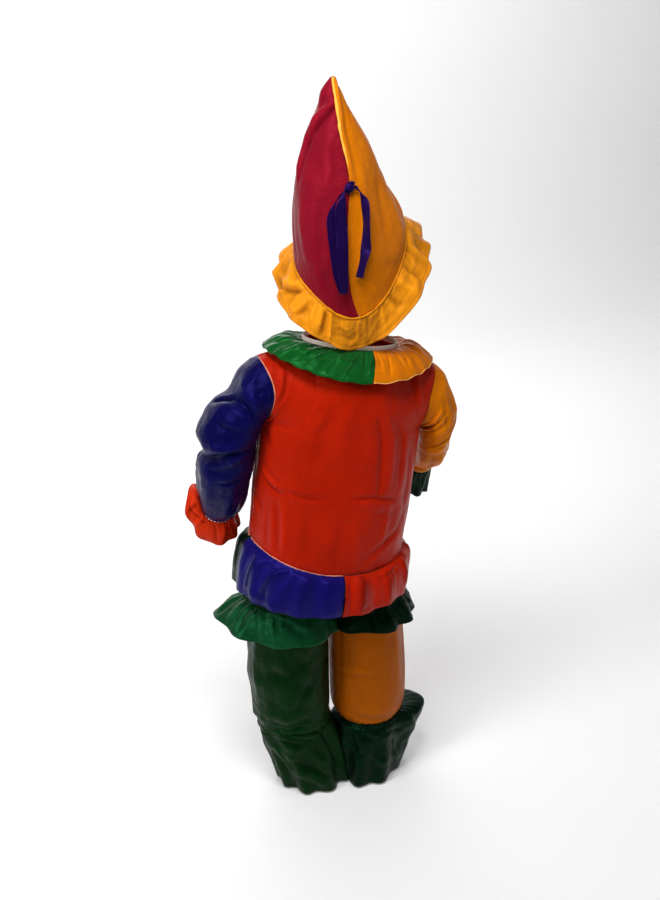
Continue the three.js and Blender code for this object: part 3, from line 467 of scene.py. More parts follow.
def sleeve(hand, u, v):
    turn = u[0] * 2 * np.pi
    count = len(sleeve_rings[hand]["y"])
    rings = np.stack([armhole_ring(hand, turn)] + [table_ring(hand, k, turn) for k in range(count)])
    place = v[:, 0] * count
    body = np.stack([
        curve(np.arange(count + 1, dtype=float), rings[:, j, k], place)
        for j in range(rings.shape[1]) for k in range(3)
    ]).reshape(rings.shape[1], 3, -1).transpose(2, 0, 1)
    middle = body.mean(axis=1, keepdims=True)
    gathered = np.maximum(0, v - SLEEVE_GATHERS["from"]) / (1 - SLEEVE_GATHERS["from"])
    waves = (1 + np.cos(SLEEVE_GATHERS["count"] * u * 2 * np.pi)) / 2
    depth = SLEEVE_GATHERS["depth"] * np.sin(np.pi * gathered) * waves
    inward = middle - body
    return body + inward * (depth / np.linalg.norm(inward, axis=-1))[..., None]


def cuff_frame(hand, down):
    last = len(sleeve_rings[hand]["y"]) - 1
    quarter = np.array([0, np.pi, np.pi / 2])
    outer, inner, front = table_ring(hand, last, quarter)
    middle = (outer + inner) / 2
    way = np.cross(outer - middle, front - middle)
    way = way / np.linalg.norm(way)
    way = way if way[2] < 0 else -way
    return middle + way * down, outer - middle, front - middle, way


def cuff_point(place, turn, out, down):
    middle, outward, forward, way = place
    radial = outward * np.cos(turn)[..., None] + forward * np.sin(turn)[..., None]
    length = np.linalg.norm(radial, axis=-1)
    return middle + radial * ((length + out) / length)[..., None] + way * np.asarray(down)[..., None]


def cuff_ruffle(hand, u, v, down, seed):
    size = cuff_ruffles[hand]
    turn = u * 2 * np.pi
    place = v * (len(cuff_profile["down"]) - 1)
    wave = along(cuff_profile, "wave", place) * flute(turn, FRILL_WAVES["cuff"], seed)
    flap = np.maximum(0, np.cos(turn - size["flap_at"])) ** 2 * v ** 0.7
    inner = size["inner"] * v * np.maximum(0, -np.cos(turn))
    out = along(cuff_profile, "out", place) * size["flare"] + wave + size["flap"] * flap - inner
    fall = along(cuff_profile, "down", place) * size["length"] - size["lift"] * flap
    return cuff_point(cuff_frame(hand, down), turn, out, fall)


def cuff_band(hand, u, v):
    out = CUFF_BAND["bulge"] * np.sin(np.pi * v)
    return cuff_point(cuff_frame(hand, SEAM), u * 2 * np.pi, out, v * CUFF_BAND["length"])


def peplum(turn, v):
    cos, sin = np.cos(turn), np.sin(turn)
    back = sin < 0
    place = v * (len(peplum_profile["down"]) - 1)
    hitch = PEPLUM_HITCH["size"] * bell(turn_apart(turn, PEPLUM_HITCH["at"]), PEPLUM_HITCH["spread"])
    length = PEPLUM["side"] - np.where(back, PEPLUM["side"] - PEPLUM["back"], 0) * sin ** 2 - hitch
    lobe = 0
    for at, spread, size in zip(*peplum_lobes.values()):
        lobe = lobe + size * bell(turn - math.radians(at), math.radians(spread))
    stand = np.minimum(1, PEPLUM["rise"] * v)
    wave = along(peplum_profile, "wave", place) * flute(turn, PEPLUM["waves"], 0.3)
    out = along(peplum_profile, "out", place) + stand * lobe + wave
    deep = np.where(back, body_sections["back"][0], body_sections["front"][0])
    drop = np.where(back, BACK_SEAM_DROP, FRONT_SEAM_DROP) * sin ** 2 + SEAM
    x = body_sections["half"][0] * power(cos) + cos * out
    y = deep * power(sin) + sin * out
    return tunic_point(x, y, -drop - along(peplum_profile, "down", place) * length)


def leg_half(hand, place):
    extra = LEFT_LEG_EXTRA * (1 - along(trouser_sections, "hip", place)) if hand < 0 else 0
    return along(trouser_sections, "half", place) + extra


def trouser_leg(hand, u, v):
    """Leg from the ankle up. u runs round it from the inner seam over the back and the outside."""
    place = v * (len(trouser_sections["height"]) - 1)

    def value(column):
        return along(trouser_sections, column, place)

    gap = HALF_SEAM / value("deep")
    leg_turn = -np.pi + gap + u * 2 * (np.pi - gap)
    hip_turn = -np.pi / 2 + u * np.pi
    hip = np.clip(value("hip"), 0, 1)
    leg_x = value("out_left" if hand < 0 else "out_right") + leg_half(hand, place) * np.cos(leg_turn)
    hip_x = np.interp(place, hip_sections["row"], hip_sections["half"]) * np.cos(hip_turn)
    hip_y = np.interp(place, hip_sections["row"], hip_sections["deep"]) * np.sin(hip_turn)
    leg_y = value("deep") * np.sin(leg_turn)
    bottom = TROUSER_RINGS[hand]
    level = bottom + (CASING["bottom"] - bottom) * value("height")
    x = leg_x + (hip_x - leg_x) * hip + HALF_SEAM
    return points(value("mid") + hand * x, leg_y + (hip_y - leg_y) * hip, level)


def waist_casing(turn, v):
    middle = trouser_sections["mid"][-1]
    level = CASING["bottom"] + SEAM + v * (CASING["top"] - CASING["bottom"])
    return points(middle + CASING["half"] * np.cos(turn), CASING["deep"] * np.sin(turn), level)


def own_side(hand, line, x):
    return line + hand * np.maximum(hand * (x - line), LEG_CLEARANCE)


def knee_ruffle(hand, u, v, seed):
    size = knee_ruffles[hand]
    bottom = TROUSER_RINGS[hand]
    share = (size["seam"] - bottom) / (CASING["bottom"] - bottom)
    place = np.interp(share, trouser_sections["height"], np.arange(len(trouser_sections["height"])))
    middle = along(trouser_sections, "mid", place)
    middle = middle + hand * along(trouser_sections, "out_left" if hand < 0 else "out_right", place)
    turn = u * 2 * np.pi
    row = v * (len(knee_profile["down"]) - 1)
    flap = np.maximum(0, np.cos(turn - size["flap_at"])) ** size["spread"]
    wave = along(knee_profile, "wave", row) * flute(turn, FRILL_WAVES["knee"], seed)
    out = SEAM + CLOTH + size["ease"] + along(knee_profile, "out", row)
    out = out + size["flap"] * flap * v ** 0.8 + wave
    x = middle + (leg_half(hand, place) + out) * np.cos(turn)
    y = (along(trouser_sections, "deep", place) + out) * np.sin(turn)
    level = size["seam"] - along(knee_profile, "down", row) + size["lift"] * flap * v
    return points(own_side(hand, along(trouser_sections, "mid", place), x), y, level)


def ankle_ruffle(hand, u, v, seed):
    size = ankle_ruffles[hand]
    middle = trouser_sections["mid"][0] + hand * trouser_sections["out_left" if hand < 0 else "out_right"][0]
    seam = TROUSER_RINGS[hand] - SEAM
    turn = u * 2 * np.pi
    row = v * (len(ankle_profile["down"]) - 1)
    stand = np.sin(np.pi * v ** ANKLE_FLAP_RISE)
    flap = size["flap"] * stand * np.maximum(0, np.cos(turn - size["flap_at"])) ** size["spread"]
    wave = along(ankle_profile, "wave", row) * flute(turn, FRILL_WAVES["ankle"], seed)
    out = along(ankle_profile, "out", row) + flap - size["narrow"] * v + wave
    level = seam - along(ankle_profile, "down", row) * (seam - size["hem"])
    line = trouser_sections["mid"][0] + ANKLE_LINE_SHIFT * (1 - level / TROUSER_RINGS[-1])
    half = leg_half(hand, np.zeros(1))[0]
    x = middle - hand * size["shift"] * v ** 1.3 + (half + out) * np.cos(turn)
    return points(own_side(hand, line, x), (trouser_sections["deep"][0] + out) * np.sin(turn), level)


def hat(turn, place):
    cos, sin = np.cos(turn), np.sin(turn)

    def value(column):
        return along(hat_sections, column, place)

    dent, lift = 0, 0
    for at, spread, row, reach, depth in zip(*hat_dents.values()):
        dent = dent + depth * near(turn, at, spread) * bell(place - row, reach)
    for at, spread, rise, reach in zip(*hat_lifts.values()):
        lift = lift + rise * near(turn, at, spread) * bell(place, reach)
    dent = np.minimum(dent, value("half") / 3)
    half = value("half") - dent
    deep = np.where(sin < 0, value("back"), value("front")) - dent
    return points(
        value("x") + half * cos * math.cos(HAT_TURN) - deep * sin * math.sin(HAT_TURN),
        half * cos * math.sin(HAT_TURN) + deep * sin * math.cos(HAT_TURN),
        value("side") - value("arch") * sin ** 2 + value("tip") * sin + value("roll") * cos + lift,
    )


def hat_ruffle(turn, v):
    away = np.degrees(np.abs(turn_apart(turn, -np.pi / 2)))
    shares = [curve(hat_fall["angle"], hat_fall[column], away) for column in ("out", "down", "wave")]
    out_share, down_share, wave = shares
    wave = wave * v ** 1.2 * flute(turn, HAT_RUFFLE["waves"], 0.4)
    hitch = 0
    for at, spread, share in zip(*hat_hitches.values()):
        hitch = hitch + share * near(turn, at, spread)
    length = HAT_RUFFLE["length"] * v * (1 - hitch)
    out = out_share * (1 + HAT_RUFFLE["side"] * np.cos(turn)) * length + wave * down_share
    fall = down_share - HAT_RUFFLE["roll"] * out_share * np.cos(turn)
    down = fall * length - wave * np.abs(out_share) + SEAM + HAT_RUFFLE["lift"]
    heading = turn + HAT_TURN
    start = hat(turn, np.zeros_like(turn))
    return start + points(np.cos(heading) * out, np.sin(heading) * out, -down)


def hat_back(height):
    """How far back the hat's back seam is at a height."""
    place = np.linspace(0, len(hat_sections["x"]) - 1, HAT_BACK_STEPS)
    seam = hat(np.full_like(place, -np.pi / 2), place)
    return np.interp(height, seam[:, 2], seam[:, 1])


def ribbon(path, u, v):
    place = v * (len(path["x"]) - 1)
    turn, lean = np.radians(along(path, "turn", place)), np.radians(along(path, "lean", place))
    across = (u - 0.5) * along(path, "width", place)
    level = along(path, "z", place)
    return points(
        along(path, "x", place) + across * np.cos(turn) * np.cos(lean),
        hat_back(level) - along(path, "off", place) - across * np.sin(turn),
        level + across * np.cos(turn) * np.sin(lean),
    )


# Relief: soft folds, creases, gathers and puckers, in millimetres out of the cloth

def crease(s, t, start, end, width, depth, bow):
    """One soft trough (depth below zero) or ridge from start to end, with a shoulder beside it."""
    way = np.subtract(end, start).astype(float)
    length = np.hypot(*way)
    way = way / length
    share = ((s - start[0]) * way[0] + (t - start[1]) * way[1]) / length
    off = (t - start[1]) * way[0] - (s - start[0]) * way[1] - 4 * bow * share * (1 - share)
    taper = ease(share, -0.08, 0.3) * (1 - ease(share, 0.7, 1.08))
    return depth * taper * (bell(off, width) - 0.35 * bell(off - 2 * width, 1.4 * width))


def creases(s, t, rows, around=None):
    """Sum of a table of creases. A row says where one starts and ends, its width, its depth and its bow.

    around is the way round a ring, for creases that cross its end.
    """
    total = np.zeros_like(s)
    for x0, y0, x1, y1, width, depth, bow in rows:
        for shift in ([0] if around is None else [-around, 0, around]):
            total += crease(s + shift, t, (x0, y0), (x1, y1), width, depth, bow)
    return total


def gathers(places, *kinds):
    """Rows for a table of creases, from where each starts and ends across. The kinds take turns."""
    rows = []
    for k, (start, end) in enumerate(places):
        low, high, width, depth, bow = kinds[k % len(kinds)]
        rows.append((start, low, end, high, width, depth, bow))
    return rows


def rumple(s, t, seed, cells, depth, around=None):
    """Uneven crumpled surface: soft ridges where warped noise crosses zero. cells is a cell's size."""
    across, up = cells
    period = NOISE_CELLS if around is None else max(2, round(around / across))
    across = across if around is None else around / period
    warp = 0.35 * noise(s / across, t / up, seed + 1, period)
    field = noise(s / across, t / up + warp, seed, period)
    fine = noise(s * 2 / across, t * 2 / up + warp, seed + 2, 2 * period)
    ridge = 0.5 - np.sqrt(field ** 2 + 0.004)
    return depth * (0.8 * ridge + 0.35 * (0.5 - np.abs(fine)) + 0.3 * field)


def puckers(s, distance, pitch, depth, reach, seed, around=None):
    """Small pulls along a seam: they fade with the distance from it."""
    period = NOISE_CELLS if around is None else max(4, round(around / (3 * pitch)))
    cell = 3 * pitch if around is None else around / period
    count = 2 * np.pi / pitch if around is None else 2 * np.pi * round(around / pitch) / around
    phase = s * count + 2.4 * noise(s / cell, distance / reach, seed, period)
    strength = 0.6 + 0.4 * noise(s / cell, distance / reach + 9, seed + 5, period)
    return depth * strength * np.sin(phase) * np.exp(-np.maximum(distance, 0) / reach)


def hem(t, edge, *ridges):
    """Turned hem. Each ridge or groove has its height, its distance from the edge and its width."""
    return sum(height * bell(t - edge + inset, width) for height, inset, width in ridges)


def fade(distance, least, reach=8):
    """Share of the relief near a seam: the least at the seam, and all of it beyond the reach."""
    return least + (1 - least) * ease(distance, 0, reach)


# Meshes

def grid(columns, rows, ring=False):
    """u and v over a grid of rows by columns. A ring leaves out its last column."""
    u = np.arange(columns + (0 if ring else 1)) / columns
    v = np.linspace(0, 1, rows + 1)
    return np.meshgrid(u, v)


def lay(kind, ring=False):
    """u and v over the grid of a kind of cloth, and the cloth's size."""
    columns, rows, across, long = cloth_grids[kind]
    u, v = grid(columns, rows, ring)
    return u, v, (across, long)


def normals_of(surface, ring, sign):
    """Unit normals of a grid of points."""
    if ring:
        across = np.roll(surface, -1, axis=1) - np.roll(surface, 1, axis=1)
    else:
        across = np.gradient(surface, axis=1)
    normal = np.cross(across, np.gradient(surface, axis=0)) * sign
    return normal / np.maximum(np.linalg.norm(normal, axis=-1, keepdims=True), 1e-9)


ORIGIN = tunic_point(0.0, 0.0, NECK["height"])


def to_row(places):
    return (np.asarray(places) - ORIGIN) * MM


def grid_faces(rows, wide, ring):
    """Corner numbers of the quads of a grid."""
    number = np.arange(rows * wide).reshape(rows, wide)
    if ring:
        number = np.concatenate([number, number[:, :1]], axis=1)
    quads = [number[:-1, :-1], number[:-1, 1:], number[1:, 1:], number[1:, :-1]]
    return np.stack(quads, axis=-1).reshape(-1, 4), number


def rim(line, offset):
    """Quads between a line of outer corners and the same line of inner ones."""
    first, second = line[:-1], line[1:]
    return np.stack([second, first, first + offset, second + offset], axis=-1)


def make_mesh(name, places, faces, material, uv=None, painted_light=None):
    mesh = bpy.data.meshes.new(name)
    mesh.from_pydata(to_row(places).tolist(), [], faces if isinstance(faces, list) else faces.tolist())
    mesh.polygons.foreach_set("use_smooth", np.ones(len(faces), bool))
    corner = np.zeros(len(mesh.loops), int)
    mesh.loops.foreach_get("vertex_index", corner)
    if uv is not None:
        layer = mesh.uv_layers.new(name="cloth")
        layer.data.foreach_set("uv", (uv[corner] * MM).astype(np.float32).ravel())
    attribute = mesh.attributes.new("painted_light", "FLOAT", "POINT")
    painted_light = np.ones(len(places)) if painted_light is None else painted_light
    attribute.data.foreach_set("value", painted_light.astype(np.float32))
    mesh.materials.append(material)
    mesh.validate()
    mesh.update()
    piece = bpy.data.objects.new(name, mesh)
    bpy.context.scene.collection.objects.link(piece)
    return piece


def shell(name, surface, material, *, relief, size, ring=False, sign=1, wall=SHELL, shade=0.05):
    """Closed thin shell: outer points on the surface plus its relief, inner points one wall behind."""
    outer = surface + normals_of(surface, ring, sign) * relief[..., None]
    normal = normals_of(outer, ring, sign)
    inner = outer - normal * wall
    rows, wide = relief.shape
    faces, number = grid_faces(rows, wide, ring)
    offset = rows * wide
    parts = [faces, faces[:, ::-1] + offset, rim(number[0], offset), rim(number[-1][::-1], offset)]
    if not ring:
        parts += [rim(number[::-1, 0], offset), rim(number[:, -1], offset)]
    faces = np.concatenate(parts)
    if sign < 0:
        faces = faces[:, ::-1]
    u, v = np.meshgrid(np.linspace(0, size[0], wide), np.linspace(0, size[1], rows))
    uv = np.stack([u, v], axis=-1).reshape(-1, 2)
    # Painted light: the colour is darkened in the hollows of the relief (painted shade) and lightened on its
    # ridges (painted highlight), by the shade setting.
    hollow = relief - relief.mean()
    painted_light = np.clip(1 + shade * hollow, *PAINTED_LIGHT_LIMITS).reshape(-1)
    places = np.concatenate([outer.reshape(-1, 3), inner.reshape(-1, 3)])
    piece = make_mesh(name, places, faces, material, np.tile(uv, (2, 1)), np.tile(painted_light, 2))
    return piece, outer, normal


# Materials

def linear(red, green, blue):
    """Colour from its screen values, 0 to 255."""
    part = np.array([red, green, blue]) / 255
    value = np.where(part <= 0.04045, part / 12.92, ((part + 0.055) / 1.055) ** 2.4)
    return (*value.tolist(), 1.0)


COLOURS = {
    "crimson": linear(122, 12, 30),
    "golden": linear(204, 111, 5),
    "ruffle_yellow": linear(214, 132, 20),
    # A pale yellow thread colour, and a lighter copy of the golden as the painted highlight on the hat's seam
    # fold
    "pale_yellow_and_painted_highlight": linear(250, 176, 66),
    "navy": linear(10, 8, 62),
    "ribbon": linear(24, 8, 56),
    "orange_red": linear(172, 28, 5),
    "green": linear(12, 76, 28),
    # Darker copies of the green, as painted shade: the first for the left leg, its ankle ruffle and the waist
    # casing, the second, less dark, for the left knee ruffle
    "green_in_painted_shade": linear(5, 33, 9),
    "green_in_milder_painted_shade": linear(12, 62, 34),
    "dark_green": linear(3, 19, 10),
    "blue": linear(20, 14, 90),
    "ochre": linear(162, 80, 2),
    "coral": linear(196, 45, 14),
    "off_white": linear(240, 232, 222),
    # A pale thread colour, and the painted highlight along the golden collar's hem and the cuff band's edge
    "pale_edge": linear(240, 176, 90),
    # A lighter coral as the painted highlight along the waist seam and an armhole fold
    "coral_painted_highlight": linear(214, 132, 108),
}


class Nodes:
    """A material's node tree, with short ways to add and join its nodes."""

    def __init__(self, name):
        self.material = bpy.data.materials.new(name)
        self.material.use_nodes = True
        self.tree = self.material.node_tree
        self.shader = self.tree.nodes["Principled BSDF"]

    def add(self, kind, **values):
        node = self.tree.nodes.new("ShaderNode" + kind)
        for key, value in values.items():
            setattr(node, key, value)
        return node

    def set(self, node, **values):
        for key, value in values.items():
            socket = node.inputs[key.replace("_", " ")]
            if isinstance(value, bpy.types.NodeSocket):
                self.tree.links.new(value, socket)
            else:
                socket.default_value = value
        return node

    def maths(self, operation, first, second):
        node = self.add("Math", operation=operation)
        for socket, value in zip(node.inputs, (first, second)):
            if isinstance(value, bpy.types.NodeSocket):
                self.tree.links.new(value, socket)
            else:
                socket.default_value = value
        return node.outputs[0]

    def noise(self, vector, scale, detail, low, high):
        """Noise between two values."""
        texture = self.set(self.add("TexNoise"), Vector=vector, Scale=scale, Detail=detail, Roughness=0.55)
        spread = self.add("MapRange")
        self.set(spread, Value=texture.outputs["Fac"], From_Min=0.3, From_Max=0.7, To_Min=low, To_Max=high)
        return spread.outputs["Result"]


def satin(name, colour, roughness=0.42, sheen=0.01, thread=0.3, crumple=0.8, lustre=0.2):
    """Woven satin: threads both ways, fine crumples, patchy colour and painted crease shade. It reflects in
    its own colour.
    """
    nodes = Nodes(name)
    place = nodes.add("TexCoord")
    cloth, solid = place.outputs["UV"], place.outputs["Object"]
    # This attribute darkens the colour in creases and lightens it on ridges: painted shade and painted
    # highlight.
    painted_light = nodes.add("Attribute", attribute_name="painted_light").outputs["Fac"]
    patches = nodes.noise(solid, 11, 3, 0.93, 1.07)
    flecks = nodes.noise(solid, 140, 4, 0.95, 1.05)
    light = nodes.maths("MULTIPLY", nodes.maths("MULTIPLY", patches, flecks), painted_light)
    tinted = nodes.set(nodes.add("HueSaturation"), Color=colour, Value=light)
    pitch = 1 / (20 * thread * MM / (2 * math.pi))
    warp, weft = (
        nodes.set(nodes.add("TexWave", bands_direction=way), Vector=cloth, Scale=scale, Distortion=0.6)
        for way, scale in (("X", pitch), ("Y", pitch * 0.7))
    )
    weave = nodes.maths("MULTIPLY", warp.outputs["Fac"], nodes.maths("ADD", weft.outputs["Fac"], 0.6))
    bump = nodes.set(nodes.add("Bump"), Height=weave, Strength=0.25, Distance=0.06 * MM)
    for scale, detail, strength, deep in ((260, 5, 0.3, 0.5), (62, 3, 0.45, 2)):
        height, under = nodes.noise(solid, scale, detail, 0, 1), bump.outputs["Normal"]
        bump = nodes.add("Bump")
        nodes.set(bump, Height=height, Strength=strength * crumple, Distance=deep * MM, Normal=under)
    gloss = nodes.noise(solid, 26, 3, roughness - 0.05, roughness + 0.08)
    nodes.set(nodes.shader, Base_Color=tinted.outputs["Color"], Roughness=gloss)
    nodes.set(nodes.shader, Normal=bump.outputs["Normal"], Sheen_Weight=sheen, Sheen_Roughness=0.45)
    glow = [0.08 + 0.92 * part / max(colour[:3]) for part in colour[:3]]
    nodes.set(nodes.shader, Specular_IOR_Level=lustre, Specular_Tint=(*glow, 1))
    return nodes.material


def sewing_thread(name, colour):
    """Twisted sewing thread."""
    nodes = Nodes(name)
    solid = nodes.add("TexCoord").outputs["Object"]
    tint = nodes.set(nodes.add("HueSaturation"), Color=colour, Value=nodes.noise(solid, 300, 3, 0.85, 1.12))
    twist = nodes.add("TexWave", bands_direction="DIAGONAL")
    nodes.set(twist, Vector=solid, Scale=900.0, Distortion=1.0)
    bump = nodes.set(nodes.add("Bump"), Height=twist.outputs["Fac"], Strength=0.4, Distance=0.08 * MM)
    nodes.set(nodes.shader, Base_Color=tint.outputs["Color"], Roughness=0.6, Normal=bump.outputs["Normal"])
    return nodes.material


MATERIALS = {
    "crimson": satin("crimson_satin", COLOURS["crimson"], 0.4),
    "golden": satin("golden_satin", COLOURS["golden"], 0.34),
    "ruffle_yellow": satin("ruffle_satin", COLOURS["ruffle_yellow"], 0.3),
    "pale_yellow_and_painted_highlight": satin("seam_painted_highlight_satin", COLOURS["pale_yellow_and_painted_highlight"], 0.42),
    "navy": satin("navy_satin", COLOURS["navy"], 0.3, lustre=0.14),
    "ribbon": satin("ribbon_satin", COLOURS["ribbon"], 0.26, thread=0.25, crumple=0.4),
    "orange_red": satin("orange_red_satin", COLOURS["orange_red"], 0.38, crumple=0.6),
    "green": satin("green_satin", COLOURS["green"], 0.28),
    "green_in_painted_shade": satin("green_satin_in_painted_shade", COLOURS["green_in_painted_shade"], 0.38, lustre=0.1),
    "green_in_milder_painted_shade": satin("green_satin_in_milder_painted_shade", COLOURS["green_in_milder_painted_shade"], 0.34, crumple=0.6),
    "dark_green": satin("dark_green_satin", COLOURS["dark_green"], 0.38, crumple=0.6, lustre=0.1),
    "blue": satin("blue_satin", COLOURS["blue"], 0.34, crumple=0.4),
    "ochre": satin("ochre_satin", COLOURS["ochre"], 0.42, crumple=0.6, lustre=0.1),
    "coral": satin("coral_satin", COLOURS["coral"], 0.3),
    "off_white": satin("off_white_cotton", COLOURS["off_white"], 0.7, 0.2, thread=0.5),
    "pale_edge": satin("edge_painted_highlight_satin", COLOURS["pale_edge"], 0.5),
    "coral_painted_highlight": satin("coral_painted_highlight_satin", COLOURS["coral_painted_highlight"], 0.45),
}
THREADS = {
    name: sewing_thread("thread_" + name, COLOURS[name])
    for name in (
        "golden", "pale_yellow_and_painted_highlight", "navy", "coral", "green", "dark_green", "pale_edge", "crimson", "ochre",
    )
}


# Sewing

def resample(line, normals, step):
    """Places at an even step along a line of points, with its direction and normal there."""
    span = np.linalg.norm(np.diff(line, axis=0), axis=1)
    travelled = np.concatenate([[0], np.cumsum(span)])
    places = np.arange(step / 2, travelled[-1], step)
    point = np.stack([np.interp(places, travelled, line[:, k]) for k in range(3)], axis=-1)
    ahead = np.stack([np.interp(places + 0.5, travelled, line[:, k]) for k in range(3)], axis=-1)
    way = ahead - point
    way = way / np.maximum(np.linalg.norm(way, axis=1, keepdims=True), 1e-9)
    normal = np.stack([np.interp(places, travelled, normals[:, k]) for k in range(3)], axis=-1)
    return point, way, normal / np.linalg.norm(normal, axis=1, keepdims=True)


def belong(piece, carrier):
    """A small piece that goes with its cloth."""
    piece.parent = carrier
    return piece


def stitches(name, carrier, line, normals, thread, step=4.0, length=2.7, radius=0.32):
    """Row of running stitches that lie on the cloth along a line."""
    point, way, normal = resample(line, normals, step)
    side = np.cross(way, normal)
    stations = ((-0.5, 0.25), (-0.2, 1.0), (0.2, 1.0), (0.5, 0.25))
    sides = 5
    rings = []
    for share, swell in stations:
        for angle in np.arange(sides) * 2 * np.pi / sides:
            up = radius * swell * math.sin(angle) + radius * (0.9 - 1.6 * share ** 2)
            rings.append(point + way * share * length + normal * up + side * radius * swell * math.cos(angle))
    count = len(point)
    places = np.stack(rings, axis=1).reshape(-1, 3)
    faces = []
    for r in range(len(stations) - 1):
        for k in range(sides):
            here, there = r * sides + k, r * sides + (k + 1) % sides
            faces.append((here, there, there + sides, here + sides))
    every = (np.array(faces)[None] + np.arange(count)[:, None, None] * len(rings)).reshape(-1, 4)
    last = (len(stations) - 1) * sides
    ends = np.array([list(range(sides))[::-1], list(range(last, last + sides))])
    closed = (ends[None] + np.arange(count)[:, None, None] * len(rings)).reshape(-1, sides)
    return belong(make_mesh(name, places, every.tolist() + closed.tolist(), THREADS[thread]), carrier)


def rolled_edge(name, carrier, line, normals, colour, radius=1.0, wobble=0.12, ring=False, taper=0.0):
    """Thin roll of cloth along a line, as a narrow hem, the fold of a seam, or a pale roll painted as a
    seam's or fold's highlight.
    """
    step, sides = 2.5, 8
    point, way, normal = resample(line, normals, step)
    side = np.cross(way, normal)
    count = len(point)
    size = radius * (1 + wobble * noise(np.arange(count) / 4.0, np.zeros(count), 31))
    if taper:
        size = size * ease(np.arange(count) / count, -0.02, taper)
    angles = np.arange(sides) * 2 * np.pi / sides
    around = normal[:, None] * np.sin(angles)[:, None] + side[:, None] * np.cos(angles)[:, None]
    places = (point[:, None] + around * size[:, None, None]).reshape(-1, 3)
    number = np.arange(count * sides).reshape(count, sides)
    number = np.concatenate([number, number[:, :1]], axis=1)
    if ring:
        number = np.concatenate([number, number[:1]], axis=0)
    quads = [number[:-1, :-1], number[1:, :-1], number[1:, 1:], number[:-1, 1:]]
    faces = [np.stack(quads, axis=-1).reshape(-1, 4)]
    if not ring:
        cap = np.array([[0, 1, 2, 3], [0, 3, 4, 7], [4, 5, 6, 7]])
        faces += [number[0, :sides][cap], number[-1, :sides][::-1][cap]]
    arc = np.repeat(np.arange(count) * step, sides)
    uv = np.stack([arc, np.tile(angles * radius, count)], axis=-1)
    return belong(make_mesh(name, places, np.concatenate(faces), MATERIALS[colour], uv), carrier)


class Cloth:
    """A piece of cloth, with the points and normals of its outer side."""

    def __init__(self, piece, outer, normal, ring):
        self.piece, self.outer, self.normal, self.ring = piece, outer, normal, ring

    def line(self, place, lift=STITCH_LIFT):
        """Points along a part of the grid, lifted off the cloth, with their normals. A ring is closed."""
        line, up = self.outer[place], self.normal[place]
        if self.ring:
            line, up = np.concatenate([line, line[:1]]), np.concatenate([up, up[:1]])
        return line + up * lift, up


def cloth_piece(node, slot, surface, *, colour=None, ring=False, **settings):
    """Cloth shell that stands for a solid and rides with the costume, in its slot's colour or another."""
    material = MATERIALS[colour or slot]
    piece, outer, normal = shell(node + "_cloth", surface, material, ring=ring, **settings)
    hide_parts(node)
    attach(piece, "root")
    return Cloth(piece, outer, normal, ring)


# Tunic. Across is measured from the middle of a panel and up from its waist seam.

panel_rise = table("share up", (0, 0), (0.4545, 232), (0.636, 281), (0.818, 330), (0.909, 357), (1, 392))
ARMHOLE_STITCHES = slice(52, -20)
ARMHOLE_FOLD = slice(58, -1)
back_creases = [
    (-186, 154, -120, 128, 3.4, 4.2, -5), (-178, 140, -112, 119, 3.6, -3.6, -5),
    (-122, 128, -34, 126, 2.8, -3.2, -3), (-116, 120, -40, 118, 4, 2, -3),
    (-12, 129, 92, 116, 2.8, -3.2, 3), (-4, 120, 92, 108, 4.4, 2.2, 3), (30, 100, 76, 94, 4, -2.2, 2),
    (-134, 112, -123, 4, 6, -3.4, 2), (-116, 108, -108, 6, 7, 2.2, 2), (-156, 96, -150, 10, 8, -2.4, 0),
    (30, 282, 42, 122, 5, -3.4, 2), (53, 284, 61, 126, 7, 3.2, 3), (78, 270, 84, 130, 6, -2.6, 3),
    (66, 118, 60, 36, 7, 2.4, 2), (110, 220, 118, 70, 9, -2.6, 3), (28, 20, 118, 62, 6, -2, 7),
    (34, 10, 130, 50, 8, 1.4, 7), (96, 60, 150, 96, 8, -1.4, 3), (-176, 352, -212, 300, 3.4, 3.4, 2),
    (-168, 346, -206, 290, 3.6, -2.2, 3), (-190, 366, -210, 326, 3.4, -2.4, 2),
    (-190, 290, -204, 226, 6, -2, 3), (150, 372, 186, 286, 7, 1.4, -4), (130, 366, 170, 270, 8, -1.4, -5),
    (-70, 100, -74, 10, 10, -1.8, 2), (-10, 96, -14, 8, 9, -1.6, -2), (10, 84, 16, 6, 8, 1.7, 1),
    (-20, 330, 40, 318, 9, -1.2, 4), (-60, 300, -64, 170, 12, -2, 4), (-20, 310, -26, 190, 12, 1.6, -4),
    (150, 180, 190, 236, 7, -2.6, 2), (-160, 190, -196, 232, 7, -2.8, 2),
    (-170, 70, -206, 96, 7, -2.2, 2),
]
front_creases = [
    (-150, 206, -84, 168, 6, -3, -6), (-90, 158, 70, 148, 5, -2.2, -7), (-70, 130, -60, 12, 8, -2.8, 3),
    (-20, 110, -26, 8, 9, 1.7, 2), (30, 140, 38, 10, 8, -2.4, -3), (84, 280, 96, 120, 8, 2.6, 4),
    (110, 240, 124, 70, 8, -2.6, 4), (120, 370, 156, 280, 6, 3, -4), (-118, 374, -154, 284, 6, 2.8, 4),
    (-104, 360, -140, 268, 6, -2.2, 5), (-150, 140, -190, 210, 7, -2.4, 2),
    (146, 150, 188, 214, 7, -2.4, -2), (60, 30, 110, 52, 6, -2, 2),
]


def panel_relief(u, v, across, rows, seed):
    s, t = (u - 0.5) * across, np.interp(v, panel_rise["share"], panel_rise["up"])
    relief = creases(s, t, rows) + rumple(s, t, seed, (62, 84), 2.4) + rumple(s, t, seed + 7, (22, 30), 0.7)
    relief += puckers(s, t, 13, 0.7, 15, seed + 3)
    edge = (0.5 - np.abs(u - 0.5)) * across
    relief += puckers(t, edge, 11, 0.6, 12, seed + 4)
    return relief * np.minimum(1, edge / 6) - 0.35 * bell(edge, 2.2)


